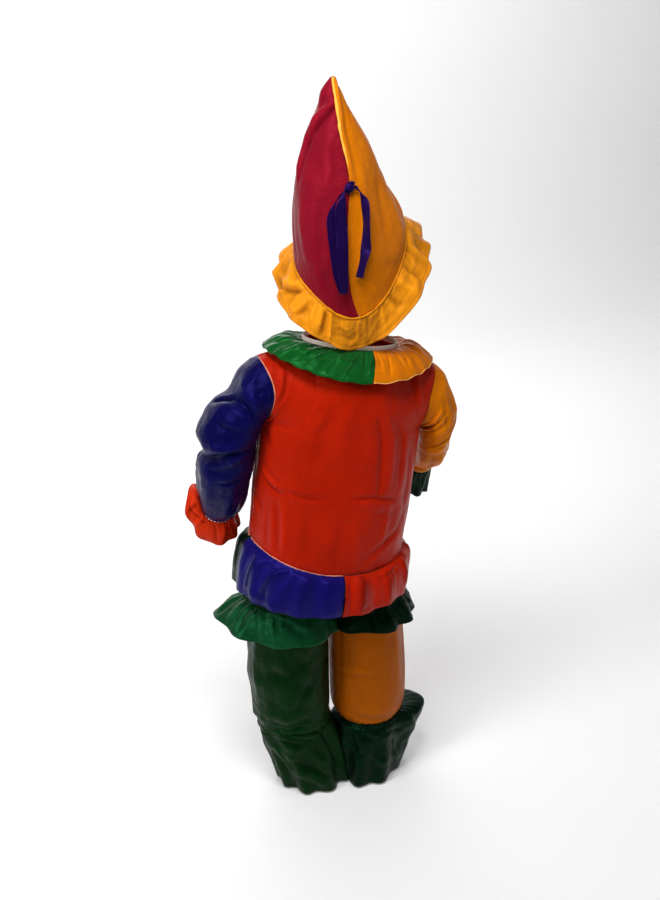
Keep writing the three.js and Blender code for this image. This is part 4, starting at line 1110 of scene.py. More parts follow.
def tunic():
    made = {}
    for side, name, rows, seed in ((-1, "back", back_creases, 11), (1, "front", front_creases, 23)):
        u, v, size = lay("tunic")
        cloth = cloth_piece(
            f"tunic_{name}", "orange_red", tunic_panel(side, u, v),
            sign=-side, relief=panel_relief(u, v, size[0], rows, seed), size=size, shade=0.045,
        )
        stitches(f"tunic_{name}_waist_stitches", cloth.piece, *cloth.line(np.s_[2, 2:-2]), "coral")
        for column, hand in ((2, "left"), (-3, "right")):
            line, up = cloth.line((ARMHOLE_STITCHES, column))
            stitches(f"tunic_{name}_armhole_stitches_{hand}", cloth.piece, line, up, "coral")
        made[name] = cloth
    back, front = made["back"], made["front"]
    # A pale roll along the back panel's armhole: the ridge of a fold, its colour a painted highlight.
    line, up = back.line((ARMHOLE_FOLD, 0), 0.4)
    rolled_edge("armhole_fold", back.piece, line, up, "coral_painted_highlight", radius=1.3, wobble=0.3, taper=0.5)
    # Pale rolls along the waist seam of both panels: their colour is a painted highlight along the seam.
    for name, cloth in made.items():
        half = cloth.outer.shape[1] // 2 + 1
        line, up = cloth.line(np.s_[0, 1:half], 0.7)
        rolled_edge(f"waist_seam_highlight_roll_{name}", cloth.piece, line, up, "coral_painted_highlight", radius=1.2, wobble=0.3)


def binding():
    u, v, size = lay("neck_binding", ring=True)
    surface = neck_binding(u * 2 * np.pi, -0.6 + v * (np.pi + 1.2))
    relief = puckers(u * size[0], np.zeros_like(u), 6.5, 0.3, 10, 41, around=size[0])
    cloth = cloth_piece(
        "neck_binding", "off_white", surface, ring=True, relief=relief, size=size, wall=0.5, shade=0.12,
    )
    line, up = cloth.line(2, 0)
    stitches("neck_binding_stitches", cloth.piece, line, up, "pale_edge", step=3.6, length=2.2, radius=0.28)


# Collar. Across is measured from its first end, and along from its neck seam outward.

collar_creases = {
    "left": [
        (428, 4, 420, 52, 2.6, -2.4, 1), (404, 2, 410, 44, 3, 1.9, -2), (392, 8, 380, 56, 2.6, -2.6, 2),
        (366, 0, 350, 40, 3.4, -2.2, 2), (350, 20, 356, 60, 3, 2, -1), (330, 2, 316, 54, 3, -2.7, 3),
        (304, 10, 296, 58, 4, 2.2, -2), (284, 0, 268, 46, 3, -2.4, 2), (256, 8, 262, 60, 3.4, -2, -2),
        (236, 2, 220, 50, 3.6, 2.2, 3), (206, 0, 212, 54, 3, -2.6, -2), (182, 6, 170, 58, 3.6, -2, 2),
        (150, 0, 158, 50, 3.2, 2, -2), (122, 4, 112, 56, 3.4, -2.4, 2), (92, 0, 98, 48, 3.2, -2, -2),
        (64, 6, 54, 58, 3.6, 2, 2), (34, 0, 40, 52, 3.2, -2.4, -1), (12, 6, 14, 56, 3, -1.6, 0),
        (262, 34, 330, 28, 3.6, -1.6, 3), (352, 30, 402, 34, 3.2, -1.5, -3),
    ],
    "right": [
        (14, 4, 20, 50, 3, -1.6, -1), (40, 0, 30, 56, 3.6, 1.5, 1), (62, 4, 70, 48, 3, -1.8, -2),
        (92, 0, 84, 54, 3.6, -1.5, 2), (120, 4, 130, 56, 4, 1.7, -2), (150, 0, 142, 50, 3, -2, 2),
        (184, 4, 192, 56, 3.6, -1.6, -2), (216, 0, 204, 52, 3.4, 1.9, 2), (244, 4, 252, 58, 3.2, -2, -2),
        (280, 0, 270, 50, 3.6, -1.8, 2), (312, 4, 322, 56, 3.8, 1.8, -2), (346, 0, 336, 52, 3.2, -2.2, 2),
        (380, 4, 388, 56, 3.4, -1.8, -2), (412, 0, 404, 50, 3, 1.7, 1),
    ],
}


def collars():
    gap = HALF_SEAM / NECK["deep"]
    for name, start, colour, edge, seed in (
        ("left", np.pi + COLLAR_SEAM["at"], "green", "green", 51),
        ("right", COLLAR_SEAM["at"], "golden", "pale_edge", 57),
    ):
        u, v, (across, deep) = lay("collar")
        turn = start + gap + u * (np.pi - 2 * gap)
        s, t = u * across, v * deep
        relief = 1.1 * creases(s, t, collar_creases[name]) + rumple(s, t, seed, (25, 26), 2.6)
        relief = relief * (0.25 + 0.75 * ease(deep - t, 1, 18)) + puckers(s, t, 8, 0.7, 14, seed + 3)
        relief += hem(t, deep, (0.55, 1.5, 1.6), (-0.35, 6, 1.4))
        relief *= fade(t, 0.35, 9)
        cloth = cloth_piece(
            f"collar_{name}", colour, collar(turn, v), relief=relief, size=(across, deep), shade=0.09,
        )
        # The golden collar's hem roll is pale: a painted highlight along its edge.
        rolled_edge(f"collar_{name}_hem", cloth.piece, *cloth.line(-1, -0.3), edge, radius=0.95)
        line, up = cloth.line(-3)
        stitches(
            f"collar_{name}_hem_stitches", cloth.piece, line, up, colour, step=3.6, length=2.4, radius=0.26,
        )


# Sleeves. Across is the way round from the outer side over the front, and along is down the arm.

sleeve_creases = {
    -1: [
        (368, 190, 254, 136, 4, -5.4, -5), (368, 174, 260, 121, 8, 3.2, -5),
        (366, 208, 262, 156, 7, 2.8, -5), (350, 38, 262, 32, 7, 5, -5), (382, 93, 332, 62, 3.4, -6, 2),
        (348, 64, 258, 58, 3.6, -5, 4), (340, 80, 262, 76, 8, 3, 4), (324, 16, 286, 18, 5, -3, -3),
        (250, 26, 232, 100, 6, -2.8, 4), (330, 108, 270, 100, 6, -3.2, -4),
        (300, 226, 246, 204, 5, -3.4, -4), (216, 118, 332, 168, 7, -2.6, 6),
        (340, 60, 400, 96, 8, -2.4, 4), (276, 222, 302, 300, 8, -2.8, 4), (316, 214, 330, 286, 8, 2.6, 3),
        (348, 224, 350, 306, 7, -2.8, -3), (240, 230, 262, 306, 7, 2.2, 3),
        (20, 190, 60, 196, 6, -2.6, 2), (30, 220, 24, 304, 8, -2.4, 2), (70, 210, 60, 300, 8, 2.2, 2),
        (40, 40, 60, 130, 9, -2.4, 3), (90, 60, 100, 180, 9, 2.2, 3), (120, 200, 200, 206, 7, -2.6, 4),
        (160, 130, 230, 150, 7, -2.2, 4), (110, 226, 116, 300, 7, -2.2, 2),
        (170, 230, 176, 304, 7, -2.2, -2),
    ],
    1: [
        (170, 118, 250, 108, 5, -3.2, 4), (190, 132, 280, 142, 5, -2.8, -4),
        (150, 32, 226, 54, 4, -4.2, 4), (156, 20, 230, 36, 6, 3.2, 4), (236, 20, 226, 96, 7, -2.8, 4),
        (206, 26, 196, 90, 7, 2.2, 3), (266, 30, 258, 100, 7, 2.2, -3), (180, 60, 236, 74, 6, -2.2, 3),
        (200, 150, 214, 220, 6, -2.4, 3), (230, 150, 238, 222, 6, 2.2, 3),
        (256, 156, 262, 226, 6, -2.4, -3), (176, 160, 184, 218, 6, 2, 2),
        (284, 120, 330, 126, 6, -2.4, 3), (40, 60, 56, 140, 8, -2.2, 3), (90, 110, 150, 122, 7, -2.4, 3),
        (30, 160, 36, 224, 7, -2, 2), (80, 150, 86, 220, 7, 2, 2), (130, 154, 134, 222, 7, -2, 2),
        (216, 96, 262, 90, 4, -2, 3), (240, 128, 290, 118, 4, -2.2, -3),
    ],
}


def sleeves():
    for hand, name, colour, crumple, seed, flat, area in (
        (-1, "left", "navy", 2.8, 61, (0.38, 0.36), 0.104),
        (1, "right", "golden", 2.6, 67, (0.3, 0.25), 0.06),
    ):
        u, v, (around, long) = lay(f"sleeve_{name}", ring=True)
        s, t = u * around, v * long
        relief = creases(s, t, sleeve_creases[hand], around)
        relief += rumple(s, t, seed, (44, 40), crumple, around)
        relief += rumple(s, t, seed + 9, (18, 17), 1.2, around)
        relief += puckers(s, t, 11, 0.8, 16, seed + 3, around)
        relief += puckers(s, long - t, 13, 1.6, 24, seed + 4, around)
        relief *= fade(t, 0.25)
        relief *= fade(long - t, 0.4)
        cloth = cloth_piece(
            f"sleeve_{name}", colour, sleeve(hand, u, v),
            ring=True, sign=-hand, relief=relief, size=(around, long), shade=0.07,
        )
        stitches(f"sleeve_{name}_stitches", cloth.piece, *cloth.line(3), colour)


cuff_creases = {
    -1: [
        (318, 42, 260, 10, 3, -4.2, 3), (296, 48, 308, 8, 3, -3.8, 2), (280, 4, 288, 44, 4, 3.2, 2),
        (246, 6, 236, 50, 4, -2.8, 2), (316, 2, 330, 40, 5, 3, 2), (222, 4, 226, 48, 5, 2.4, 2),
        (200, 2, 192, 46, 4, -2.8, 2), (40, 4, 52, 46, 4, -3, 2), (76, 6, 70, 44, 5, 2.8, -2),
        (110, 2, 120, 46, 4, -2.8, 2), (150, 4, 146, 44, 5, 2.6, 2),
    ],
    1: [
        (150, 2, 158, 48, 3.6, -2.4, 2), (176, 4, 170, 44, 4, 2.2, 2), (196, 2, 204, 48, 3.6, -2.4, -2),
        (20, 4, 28, 46, 4, -2.4, 2), (60, 2, 54, 46, 4, 2.2, 2), (100, 4, 106, 44, 4, -2.4, 2),
    ],
}


def cuffs():
    for hand, name, colour, down, wave_seed, flat in (
        (-1, "left", "coral", SEAM, 0.6, (0.042, 0.37)),
        (1, "right", "dark_green", CUFF_BAND["length"] + 2 * SEAM, 2.1, (0.062, 0.28)),
    ):
        u, v, (around, long) = lay(f"cuff_ruffle_{name}", ring=True)
        s, t = u * around, v * long
        relief = puckers(s, t, 11, 1.0, 14, 71 + hand, around)
        relief += rumple(s, t, 73 + hand, (26, 30), 2.4, around)
        relief += creases(s, t, cuff_creases[hand], around)
        relief += hem(t, long, (0.5, 1.5, 1.5), (-0.3, 6, 1.3))
        relief *= fade(t, 0.3)
        cloth = cloth_piece(
            f"cuff_ruffle_{name}", colour, cuff_ruffle(hand, u, v, down, wave_seed),
            ring=True, sign=-hand, relief=relief, size=(around, long), shade=0.08,
        )
        line, up = cloth.line(-4)
        stitches(
            f"cuff_{name}_hem_stitches", cloth.piece, line, up, colour, step=3.8, length=2.4, radius=0.26,
        )
    u, v, size = lay("cuff_band", ring=True)
    relief = puckers(u * size[0], np.zeros_like(u), 6, 0.45, 10, 79, size[0]) * np.sin(np.pi * v)
    band = cloth_piece(
        "cuff_band_right", "golden", cuff_band(1, u, v),
        ring=True, sign=-1, relief=relief, size=size, shade=0.1,
    )
    # The band's edge roll is pale: a painted highlight along its seam to the cuff ruffle.
    rolled_edge("cuff_band_edge", band.piece, *band.line(-1, 0.3), "pale_edge", radius=0.9)


# Peplum. Across runs round each quarter, and along is measured down from the waist seam.

peplum_creases = {
    "back_left": [
        (64, 22, 36, 86, 5, -3.8, 2), (44, 8, 22, 66, 6, 3, 2), (90, 18, 66, 86, 7, 3.2, 2),
        (120, 20, 78, 86, 5, -3.8, 3), (140, 18, 104, 86, 8, 3, 2), (146, 8, 138, 60, 5, -1.8, 2),
        (174, 8, 162, 84, 9, -2, 1), (208, 8, 202, 84, 8, -1.8, 1), (30, 72, 120, 80, 6, -1.8, 4),
    ],
    "back_right": [
        (8, 4, 8, 90, 6, 2.8, 0), (24, 2, 27, 92, 5, -4, 0), (46, 6, 54, 86, 8, 3.2, 2),
        (76, 4, 86, 84, 5, -2.8, 2), (104, 6, 112, 84, 7, 2.6, 2), (134, 2, 146, 76, 5, -2.8, 4),
        (166, 4, 184, 80, 8, 3, -3), (196, 2, 210, 80, 5, -3, 2), (60, 20, 120, 10, 5, -2.2, 3),
    ],
    "front_left": [
        (18, 4, 14, 80, 5, -2.6, 2), (46, 6, 52, 84, 5, 2.2, -2), (80, 4, 76, 86, 4, -2.6, 2),
        (112, 6, 120, 84, 5, 2.2, -2), (146, 4, 142, 86, 4, -2.8, 2), (176, 6, 184, 84, 5, 2.4, -2),
        (206, 4, 204, 80, 4, -2.4, 1),
    ],
    "front_right": [
        (22, 4, 26, 84, 4, -2.6, -2), (54, 6, 48, 84, 5, 2.2, 2), (86, 4, 92, 86, 4, -2.6, -2),
        (118, 6, 112, 84, 5, 2.2, 2), (150, 4, 156, 86, 4, -2.6, -2), (184, 6, 178, 84, 5, 2.4, 2),
        (210, 4, 214, 80, 4, -2.2, -1),
    ],
}


def peplums():
    gap = HALF_SEAM / body_sections["front"][0]
    for name, start, colour, thread, seed in (
        ("back_left", 180, "blue", "navy", 81),
        ("back_right", -90, "orange_red", "coral", 83),
        ("front_left", 90, "dark_green", "dark_green", 85),
        ("front_right", 0, "golden", "golden", 87),
    ):
        u, v, (across, long) = lay("peplum")
        turn = math.radians(start) + gap + u * (np.pi / 2 - 2 * gap)
        s, t = u * across, v * long
        relief = 1.2 * creases(s, t, peplum_creases[name]) + rumple(s, t, seed, (44, 60), 3.0)
        relief += puckers(s, t, 13, 0.35, 15, seed + 30) + hem(t, long, (0.6, 2, 1.8), (-0.35, 8, 1.5))
        relief *= fade(t, 0.25, 9)
        cloth = cloth_piece(
            f"peplum_{name}", colour, peplum(turn, v), relief=relief, size=(across, long), shade=0.08,
        )
        line, up = cloth.line(-4)
        stitches(
            f"peplum_{name}_hem_stitches", cloth.piece, line, up, thread, step=3.8, length=2.5, radius=0.28,
        )


# Trousers. Across is the way round from the inner seam, and along is measured up from the ankle seam.
# The fill rounds out the left ankle's seam, where the leg and its ruffle meet.

ANKLE_FILL = {-1: 6.5, 1: 0}
leg_creases = {
    -1: [
        (134, 178, 92, 150, 8, 4.2, 3), (124, 138, 84, 118, 8, 3.6, 3), (150, 160, 120, 128, 5, -3.6, 3),
        (90, 120, 130, 70, 7, -3.4, 4), (110, 22, 170, 10, 6, 3, 3), (60, 250, 150, 236, 7, -2.8, 6),
        (90, 268, 180, 262, 9, 2.2, 4), (70, 190, 120, 170, 6, -2.2, 4), (130, 130, 200, 118, 7, -2.4, 5),
        (96, 60, 180, 44, 7, -2.6, -6), (170, 250, 176, 120, 9, -2.2, 4), (210, 240, 204, 90, 9, 2.2, 4),
        (60, 150, 64, 40, 9, 2, 3), (240, 210, 300, 190, 8, -2.4, 5), (320, 240, 330, 90, 10, -2.2, 5),
        (370, 220, 420, 200, 8, -2.2, 4), (280, 60, 380, 44, 8, -2.2, 6), (420, 180, 428, 60, 9, 2, 3),
        (110, 34, 150, 20, 5, -2, 2),
    ],
    1: [
        (26, 118, 114, 120, 3.2, -2.4, 3), (28, 126, 110, 128, 4, 1.8, 3), (34, 60, 44, 230, 8, -2.4, 4),
        (150, 240, 158, 80, 9, 1.6, 3), (180, 220, 186, 70, 9, -1.8, 3), (40, 44, 130, 18, 6, 2.2, -8),
        (60, 60, 150, 40, 7, -1.6, -8), (210, 180, 260, 170, 8, -2, 4), (300, 230, 308, 90, 9, -2, 3),
        (340, 160, 400, 150, 8, -1.8, 4), (420, 220, 428, 70, 9, 1.8, 3), (280, 50, 360, 36, 7, -1.8, 5),
    ],
}


def trousers():
    # The left leg and the waist casing are green cloth in a darker copy of the green: painted shade.
    for hand, name, slot, colour, crumples, seed in (
        (-1, "left", "green", "green_in_painted_shade", (7.0, 3.0), 91),
        (1, "right", "ochre", "ochre", (2.4, 0.6), 93),
    ):
        u, v, (around, long) = lay(f"trouser_{name}")
        s, t = u * around, v * long
        relief = creases(s, t, leg_creases[hand]) + rumple(s, t, seed, (56, 66), crumples[0])
        relief += rumple(s, t, seed + 5, (24, 26), crumples[1])
        relief += puckers(s, t, 14, 1.2, 26, seed + 6) + puckers(s, long - t, 10, 0.8, 24, seed + 7)
        edge = np.minimum(u, 1 - u) * around
        own = 1 - ease(t, 0.72 * long, 0.86 * long)
        relief = np.where(edge < 60, np.minimum(relief, 0.6), relief) * np.minimum(1, 0.3 + edge / 20)
        relief *= 0.3 + 0.7 * own
        relief += ANKLE_FILL[hand] * bell(t - 8, 16)
        cloth = cloth_piece(
            f"trouser_{name}", slot, trouser_leg(hand, u, v), colour=colour,
            sign=hand, relief=relief, size=(around, long), shade=0.06,
        )
        stitches(f"trouser_{name}_ankle_stitches", cloth.piece, *cloth.line(2), slot)
    u, v, size = lay("waist_casing", ring=True)
    relief = puckers(u * size[0], np.zeros_like(u), 8, 0.9, 10, 97, size[0]) * np.sin(np.pi * v)
    casing = cloth_piece(
        "waist_casing", "green", waist_casing(u * 2 * np.pi, v), colour="green_in_painted_shade",
        ring=True, relief=relief, size=size, wall=1.6,
    )
    for row, place in ((2, "lower"), (8, "upper")):
        stitches(f"waist_casing_{place}_stitches", casing.piece, *casing.line(row), "green")


# Frills. Across is the way round them, and along is measured down from the seam.

def frill(
    kind, node, slot, form, thread, *, seed, rows, colour=None, big=40, fill=0.0,
):
    """Gathered frill with a stitched hem. form gives its surface, and big is its larger crumples' size."""
    u, v, (around, long) = lay(kind, ring=True)
    s, t = u * around, v * long
    relief = puckers(s, t, 12, 1.2, 16, seed, around) + rumple(s, t, seed + 1, (big, big), 5.0, around)
    relief += rumple(s, t, seed + 2, (0.45 * big, 0.5 * big), 2.4, around) + creases(s, t, rows, around)
    relief += hem(t, long, (0.55, 1.5, 1.6), (-0.35, 7, 1.5))
    relief = relief * fade(t, 0.25, 9) + fill * bell(t, 16)
    cloth = cloth_piece(
        node, slot, form(u, v), colour=colour,
        ring=True, sign=-1, relief=relief, size=(around, long), shade=0.08,
    )
    line, up = cloth.line(-3)
    stitches(node + "_cloth_hem_stitches", cloth.piece, line, up, thread, step=3.8, length=2.6, radius=0.28)
    return cloth


ANKLE_GATHERS = ((50, 130, 6, -3.6, 3), (40, 120, 7, 3.6, 3))
ankle_creases = {
    -1: [
        (364, 108, 440, 140, 6, 4.6, 4), (370, 94, 446, 126, 4, -4.4, 4), (352, 40, 400, 66, 6, -4, 3),
        (380, 20, 440, 40, 7, 3.6, 4), (420, 60, 450, 100, 6, -3.6, 3), (330, 70, 356, 120, 6, 3.8, 3),
        (460, 30, 480, 110, 6, -3.6, 3),
        *gathers(
            ((300, 310), (250, 262), (200, 190), (140, 152), (80, 70), (30, 44), (520, 510)), *ANKLE_GATHERS
        ),
    ],
    1: [
        (350, 60, 392, 100, 6, -4, 3), (380, 30, 430, 60, 7, 3.8, 4), (400, 90, 452, 120, 6, 4, 3),
        (440, 40, 500, 66, 6, -4, 4), (470, 80, 500, 130, 6, 3.8, 3), (520, 30, 548, 90, 5, -4, 3),
        (330, 20, 340, 70, 6, 3.4, 2), (300, 60, 290, 130, 6, -3.6, 3),
        *gathers(((240, 252), (190, 180), (130, 142), (70, 60), (20, 34)), *ANKLE_GATHERS[::-1]),
    ],
}
knee_creases = {
    -1: [
        (300, 10, 312, 58, 5, -3.4, 2), (322, 6, 340, 60, 6, 3.4, 3), (350, 4, 366, 62, 5, -3.4, 3),
        (380, 8, 404, 60, 7, 3.2, 3), (420, 4, 436, 58, 5, -3.2, 3), (450, 10, 500, 40, 6, 3, 4),
        (560, 6, 552, 58, 5, -3.2, 2),
        *gathers(
            ((276, 280), (240, 236), (190, 196), (140, 134), (90, 98), (40, 34), (600, 610)),
            (8, 58, 6, 3.0, 2), (4, 60, 5, -3.2, 2),
        ),
    ],
    1: [
        *gathers(
            ((380, 390), (420, 428), (20, 28), (80, 74), (140, 150), (200, 194), (260, 268), (320, 316)),
            (8, 58, 5, -3.0, 2), (4, 60, 6, 3.0, 2),
        ),
        *gathers(
            ((456, 470), (500, 516), (540, 556), (590, 604)), (8, 58, 5, -3.2, 3), (4, 60, 6, 3.0, 3)
        ),
    ],
}
leg_frill_looks = {
    -1: {
        # The left ruffles are green cloth in darker copies of the green: painted shade.
        "name": "left", "slot": "green", "knee": "green_in_milder_painted_shade", "ankle": "green_in_painted_shade",
        "knee_wave": 0.9, "ankle_wave": 1.4,
        "knee_flat": (0.066, 0.76), "ankle_flat": (0.165, 0.5), "area": 0.0815,
    },
    1: {
        "name": "right", "slot": "dark_green", "knee": "dark_green", "ankle": "dark_green",
        "knee_wave": 2.3, "ankle_wave": 0.2,
        "knee_flat": (0.064, 0.69), "ankle_flat": (0.2, 0.58), "area": 0.088,
    },
}


def leg_frills():
    for hand, look in leg_frill_looks.items():
        name, slot = look["name"], look["slot"]
        frill(
            "knee_ruffle", f"knee_ruffle_{name}", slot,
            lambda u, v: knee_ruffle(hand, u, v, look["knee_wave"]), slot, colour=look["knee"],
            seed=101 + hand, rows=knee_creases[hand],
        )
        frill(
            "ankle_ruffle", f"ankle_ruffle_{name}", slot,
            lambda u, v: ankle_ruffle(hand, u, v, look["ankle_wave"]), slot, colour=look["ankle"],
            seed=107 + hand, rows=ankle_creases[hand],
            big=54, fill=ANKLE_FILL[hand],
        )


# Hat. Across runs from the back seam round a half, and along is measured up from the opening.
# The halves close to a point at a row past the last section, with a low cap. The back seam's fold
# starts at its own row of the mesh.

HAT_CLOSED = 10.35
HAT_CAP = 1.5
HAT_FOLD_ROW = 62
hat_creases = {
    -1: [
        (-8, 243, 64, 189, 2.6, -5.2, 3), (56, 197, 104, 122, 3, -5.2, 6), (-3, 251, 71, 197, 4, 4, 3),
        (65, 205, 114, 124, 4, 4.2, 6), (14, 214, 40, 130, 9, 2, 3), (40, 140, 52, 20, 10, -2.2, 5),
        (88, 120, 84, 30, 10, 2, 4), (20, 190, 16, 150, 8, -1.8, 0), (24, 60, 60, 8, 7, -1.8, 3),
        (130, 90, 128, 12, 8, -2, 3), (170, 130, 176, 20, 9, 1.8, 3), (210, 120, 204, 16, 9, -2.2, 3),
        (250, 90, 256, 10, 8, -1.8, 2), (180, 210, 240, 190, 6, -2.8, 5),
    ],
    1: [
        (26, 170, 30, 60, 9, 1.5, 3), (70, 150, 78, 40, 10, -1.8, 4), (112, 130, 120, 24, 9, 1.8, 3),
        (60, 40, 96, 6, 6, -1.6, 3), (150, 120, 146, 14, 9, -2, 3), (196, 110, 200, 12, 9, 1.8, 3),
        (240, 100, 236, 10, 8, -2, 3), (100, 220, 150, 196, 7, -1.6, 4),
    ],
}


def hats():
    top = len(hat_sections["x"]) - 1
    middle = np.array([hat_sections["x"][top], 0, hat_sections["side"][top]])
    for hand, name, colour, seed in ((-1, "left", "crimson", 111), (1, "right", "golden", 113)):
        u, v, (across, high) = lay("hat")
        place = np.minimum(v * HAT_CLOSED, top)
        seam_turn = np.radians(along(hat_sections, "seam", place))
        turn = -np.pi / 2 + seam_turn + u * (hand * np.pi - seam_turn)
        closing = np.clip((v * HAT_CLOSED - top) / (HAT_CLOSED - top), 0, 0.999)
        surface = middle + (hat(turn, place) - middle) * np.sqrt(1 - closing ** 2)[..., None]
        surface[..., 2] += HAT_CAP * closing
        surface[..., 0] += hand * HALF_SEAM
        s, t = u * np.pi * along(hat_sections, "half", place), v * high
        relief = creases(s, t, hat_creases[hand]) + rumple(s, t, seed, (66, 84), 2.0)
        relief += rumple(s, t, seed + 3, (24, 30), 0.6)
        seam = np.minimum(u, 1 - u) * across
        relief += puckers(t, seam, 15, 0.6, 10, seed + 5) + puckers(s, t, 13, 0.9, 16, seed + 6)
        relief *= fade(t, 0.3) * np.minimum(1, 0.2 + seam / 7) * (1 - ease(v, 0.86, 0.99))
        if hand > 0:
            upper = ease(v, 0.42, 0.6) * (1 - 0.6 * ease(v, 0.9, 1))
            relief += upper * (3.2 * bell(s - 5, 5) - 1.6 * bell(s - 15, 5))
        cloth = cloth_piece(
            f"hat_{name}", colour, surface, sign=hand, relief=relief, size=(across, high), shade=0.05,
        )
        stitches(f"hat_{name}_seam_stitches", cloth.piece, *cloth.line(np.s_[4:-10, 2]), colour)
    line, up = cloth.line(np.s_[1:HAT_FOLD_ROW + 1, 0], -0.3)
    rolled_edge("hat_seam_lower", cloth.piece, line, up, "golden", radius=1.0, wobble=0.2)
    # The seam fold's pale yellow is a painted highlight on the fold.
    line, up = cloth.line(np.s_[HAT_FOLD_ROW:-3, 1], 0.8)
    rolled_edge("hat_seam_fold", cloth.piece, line, up, "pale_yellow_and_painted_highlight", radius=2.6, wobble=0.25, taper=0.3)


hat_frill_creases = [
    (508, 2, 503, 62, 3.4, 5, 0), (497, 4, 491, 58, 3.4, -4.4, 0), (524, 12, 548, 24, 6, 2.8, 3),
    (530, 34, 560, 44, 5, -2.2, 3), (478, 6, 470, 50, 4, 3, 2), (460, 16, 440, 56, 3.6, -3.2, -3),
    (436, 26, 418, 62, 5, 3, 2), (348, 62, 446, 4, 3, -5, 6), (340, 52, 432, -2, 5, 3.4, 6),
    (404, 40, 384, 64, 4, -3.2, 2), (372, 2, 366, 40, 4, 3, 1), (566, 2, 572, 50, 4, 2, 2),
    (586, 0, 596, 44, 4, -2.4, 2), (618, 4, 630, 60, 5, 3, -2), (638, 0, 664, 52, 3.2, -4.2, 2),
    (662, 0, 684, 62, 5, 3.2, -2), (690, 4, 708, 54, 3.4, -3.8, 2), (730, 2, 740, 62, 4.6, 2.4, 2),
    (8, 0, 14, 56, 4, -2.8, 2), (40, 4, 34, 62, 5, 2.6, 2), (66, 2, 74, 50, 3.6, -3, -2),
    (104, 0, 98, 60, 5, 2.4, 2), (136, 4, 146, 56, 3.6, -3, 2), (176, 2, 170, 62, 5, 2.6, -2),
    (206, 0, 214, 52, 3.6, -2.8, 2), (240, 4, 234, 62, 5, 2.6, 2), (268, 2, 278, 56, 3.4, -3, -2),
    (306, 0, 300, 60, 5, 2.4, 2), (336, 4, 344, 54, 3.6, -2.8, 2),
]


def hat_frill():
    cloth = frill(
        "hat_ruffle", "hat_ruffle", "ruffle_yellow", lambda u, v: hat_ruffle(u * 2 * np.pi, v), "pale_yellow_and_painted_highlight",
        seed=121, rows=hat_frill_creases,
    )
    turn = np.append(lay("hat_ruffle", ring=True)[0][0], 0) * 2 * np.pi
    seam = hat_ruffle(turn, np.full(len(turn), 0.035))
    out = seam - seam.mean(axis=0)
    out[:, 2] = 0
    out = out / np.linalg.norm(out, axis=1, keepdims=True)
    top = hat_ruffle(turn[:-1], np.zeros(len(turn) - 1))
    rolled_edge(
        "hat_ruffle_seam_roll", cloth.piece, top + out[:-1] * 0.5, out[:-1], "ruffle_yellow",
        radius=1.9, wobble=0.35, ring=True,
    )
    stitches(
        "hat_ruffle_seam_stitches", cloth.piece, seam + out * 1.2, out, "ochre",
        step=4.6, length=3.0, radius=0.4,
    )


def ribbons():
    for name, path, flat in (("loop", loop_path, (0.018, 0.35)), ("tail", tail_path, (0.018, 0.158))):
        u, v = grid(RIBBON_GRID, RIBBON_GRID * (len(path["x"]) - 1))
        long = flat[1] * 1000
        off = u - 0.5
        relief = 0.5 * np.cos(np.pi * off) - 0.25 * np.cos(6 * np.pi * off) * bell(np.abs(off) - 0.5, 0.12)
        relief += 0.35 * noise(v * long / 16, u * 2, 131) + 0.45 * bell(np.abs(off) - 0.47, 0.05)
        # The high shade setting paints shade in the ribbons' hollows and streaks of painted highlight along
        # their raised middle and edges.
        cloth = cloth_piece(
            f"ribbon_{name}", "navy", ribbon(path, u, v), colour="ribbon",
            relief=relief, size=(RIBBON_WIDTH, long), wall=0.5, shade=0.4,
        )
    knot()


def knot():
    """Knot of the tie: a tight bundle with ribbon wrapped round it, grooved between the turns, with painted
    shade in the grooves.
    """
    wide, rows = KNOT_GRID
    turn, rise = np.meshgrid(np.arange(wide) / wide * 2 * np.pi, np.linspace(-np.pi / 2, np.pi / 2, rows))
    wraps = np.abs(np.sin(turn + 1.6 * rise))
    pinch = 0.66 + 0.34 * np.minimum(1, wraps * 1.6) + 0.03 * np.sin(9 * turn + 5 * rise)
    centre = np.array([KNOT["x"], hat_back(KNOT["z"]) - KNOT["deep"] - KNOT["gap"], KNOT["z"]])
    shape = points(
        1.1 * KNOT["half"] * np.cos(turn) * np.cos(rise), KNOT["deep"] * np.sin(turn) * np.cos(rise),
        0.95 * KNOT["high"] * np.sin(rise) + 0.35 * KNOT["half"] * np.cos(turn) * np.cos(rise),
    )
    places = centre + shape * pinch[..., None]
    faces, _ = grid_faces(rows, wide, True)
    uv = np.stack([turn * 8, rise * 9], axis=-1).reshape(-1, 2)
    # Painted shade in the grooves between the turns and a slight painted highlight on the wraps
    painted_light = (0.6 + 0.5 * np.minimum(1, wraps * 2)).reshape(-1)
    piece = make_mesh("ribbon_knot_cloth", places.reshape(-1, 3), faces, MATERIALS["ribbon"], uv, painted_light)
    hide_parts("ribbon_knot")
    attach(piece, "root")


# Light, floor and camera

FLOOR = -ORIGIN[2] * MM
CAMERA = {"place": (-0.636, -1.845, 0.523), "way": (0.2894, 0.8908, -0.3502), "lens": 44.48}


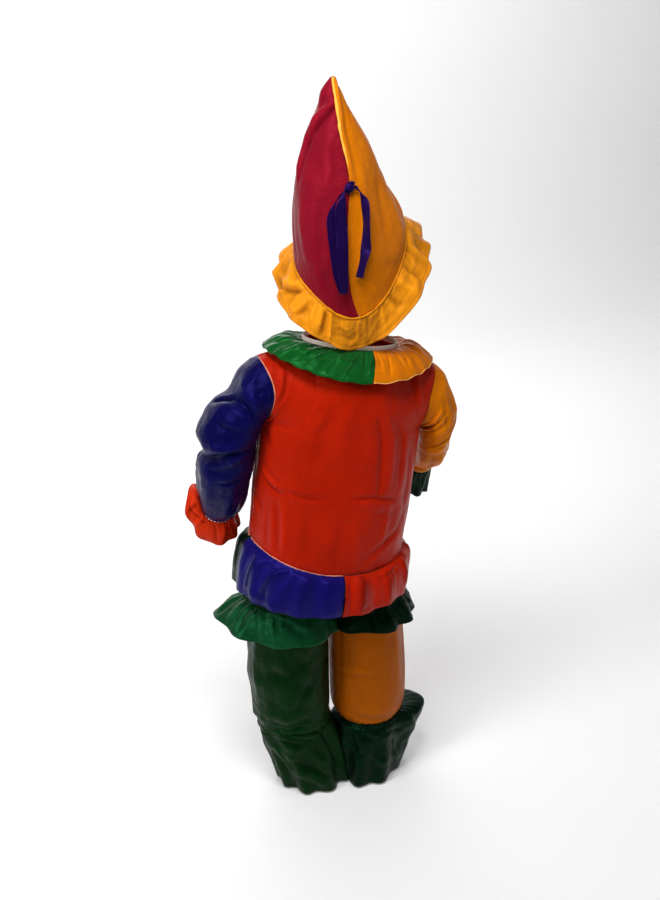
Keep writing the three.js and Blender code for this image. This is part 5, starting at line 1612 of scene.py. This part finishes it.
def stage():
    mesh = bpy.data.meshes.new("floor")
    reach, behind, rise, round_off, steps = 6.0, 3.2, 5.0, 1.2, 12
    bend = [
        (behind + math.sin(angle) * round_off, round_off - math.cos(angle) * round_off)
        for angle in np.linspace(0, np.pi / 2, steps)
    ]
    bend = [(-reach, 0.0), *bend, (behind + round_off, rise)]
    corners = [(x, y, FLOOR + z) for y, z in bend for x in (-reach, reach)]
    faces = [(2 * k, 2 * k + 1, 2 * k + 3, 2 * k + 2) for k in range(len(bend) - 1)]
    mesh.from_pydata(corners, [], faces)
    mesh.polygons.foreach_set("use_smooth", [True] * len(faces))
    floor = bpy.data.objects.new("floor", mesh)
    nodes = Nodes("pale_floor")
    place = nodes.add("TexCoord").outputs["Object"]
    patches = nodes.noise(place, 2, 2, 0.99, 1.01)
    tint = nodes.set(nodes.add("HueSaturation"), Color=(0.9, 0.9, 0.9, 1), Value=patches)
    nodes.set(nodes.shader, Base_Color=tint.outputs["Color"], Roughness=0.9)
    nodes.shader.inputs["Emission Color"].default_value = (1, 1, 1, 1)
    nodes.shader.inputs["Emission Strength"].default_value = 0.16
    mesh.materials.append(nodes.material)
    bpy.context.scene.collection.objects.link(floor)


def area_light(name, place, target, size, power_watts):
    data = bpy.data.lights.new(name, "AREA")
    data.shape, data.size, data.size_y = "RECTANGLE", size[0], size[1]
    data.energy = power_watts
    lamp = bpy.data.objects.new(name, data)
    lamp.location = place
    lamp.rotation_euler = (Vector(target) - Vector(place)).to_track_quat("-Z", "Y").to_euler()
    bpy.context.scene.collection.objects.link(lamp)


def lights():
    world = bpy.data.worlds.new("studio")
    world.use_nodes = True
    world.node_tree.nodes["Background"].inputs["Color"].default_value = (1, 1, 1, 1)
    world.node_tree.nodes["Background"].inputs["Strength"].default_value = 0.1
    bpy.context.scene.world = world
    area_light("overhead", (-0.5, -0.8, 1.5), (0, 0, -0.2), (0.8, 0.6), 28)
    area_light("left_key", (-2.1, -1.0, 1.3), (0, 0, -0.1), (0.7, 0.9), 30)
    area_light("right_fill", (2.2, -1.0, 0.9), (0, 0, -0.1), (1.4, 1.6), 7)
    area_light("front_fill", (0.4, 2.4, 1.2), (0, 0, -0.1), (2.0, 1.6), 14)
    area_light("backdrop_wash", (0, 1.6, 2.6), (0, 4.4, 0.8), (4.0, 0.8), 110)


def camera():
    data = bpy.data.cameras.new("camera")
    data.lens, data.sensor_width = CAMERA["lens"], 36
    eye = bpy.data.objects.new("camera", data)
    eye.location = CAMERA["place"]
    eye.rotation_euler = Vector(CAMERA["way"]).to_track_quat("-Z", "Y").to_euler()
    bpy.context.scene.collection.objects.link(eye)
    bpy.context.scene.camera = eye
    bpy.context.scene.view_settings.view_transform = "Standard"


camera()
lights()
stage()
tunic()
binding()
collars()
sleeves()
cuffs()
peplums()
trousers()
leg_frills()
hats()
hat_frill()
ribbons()

bpy.context.view_layer.update()
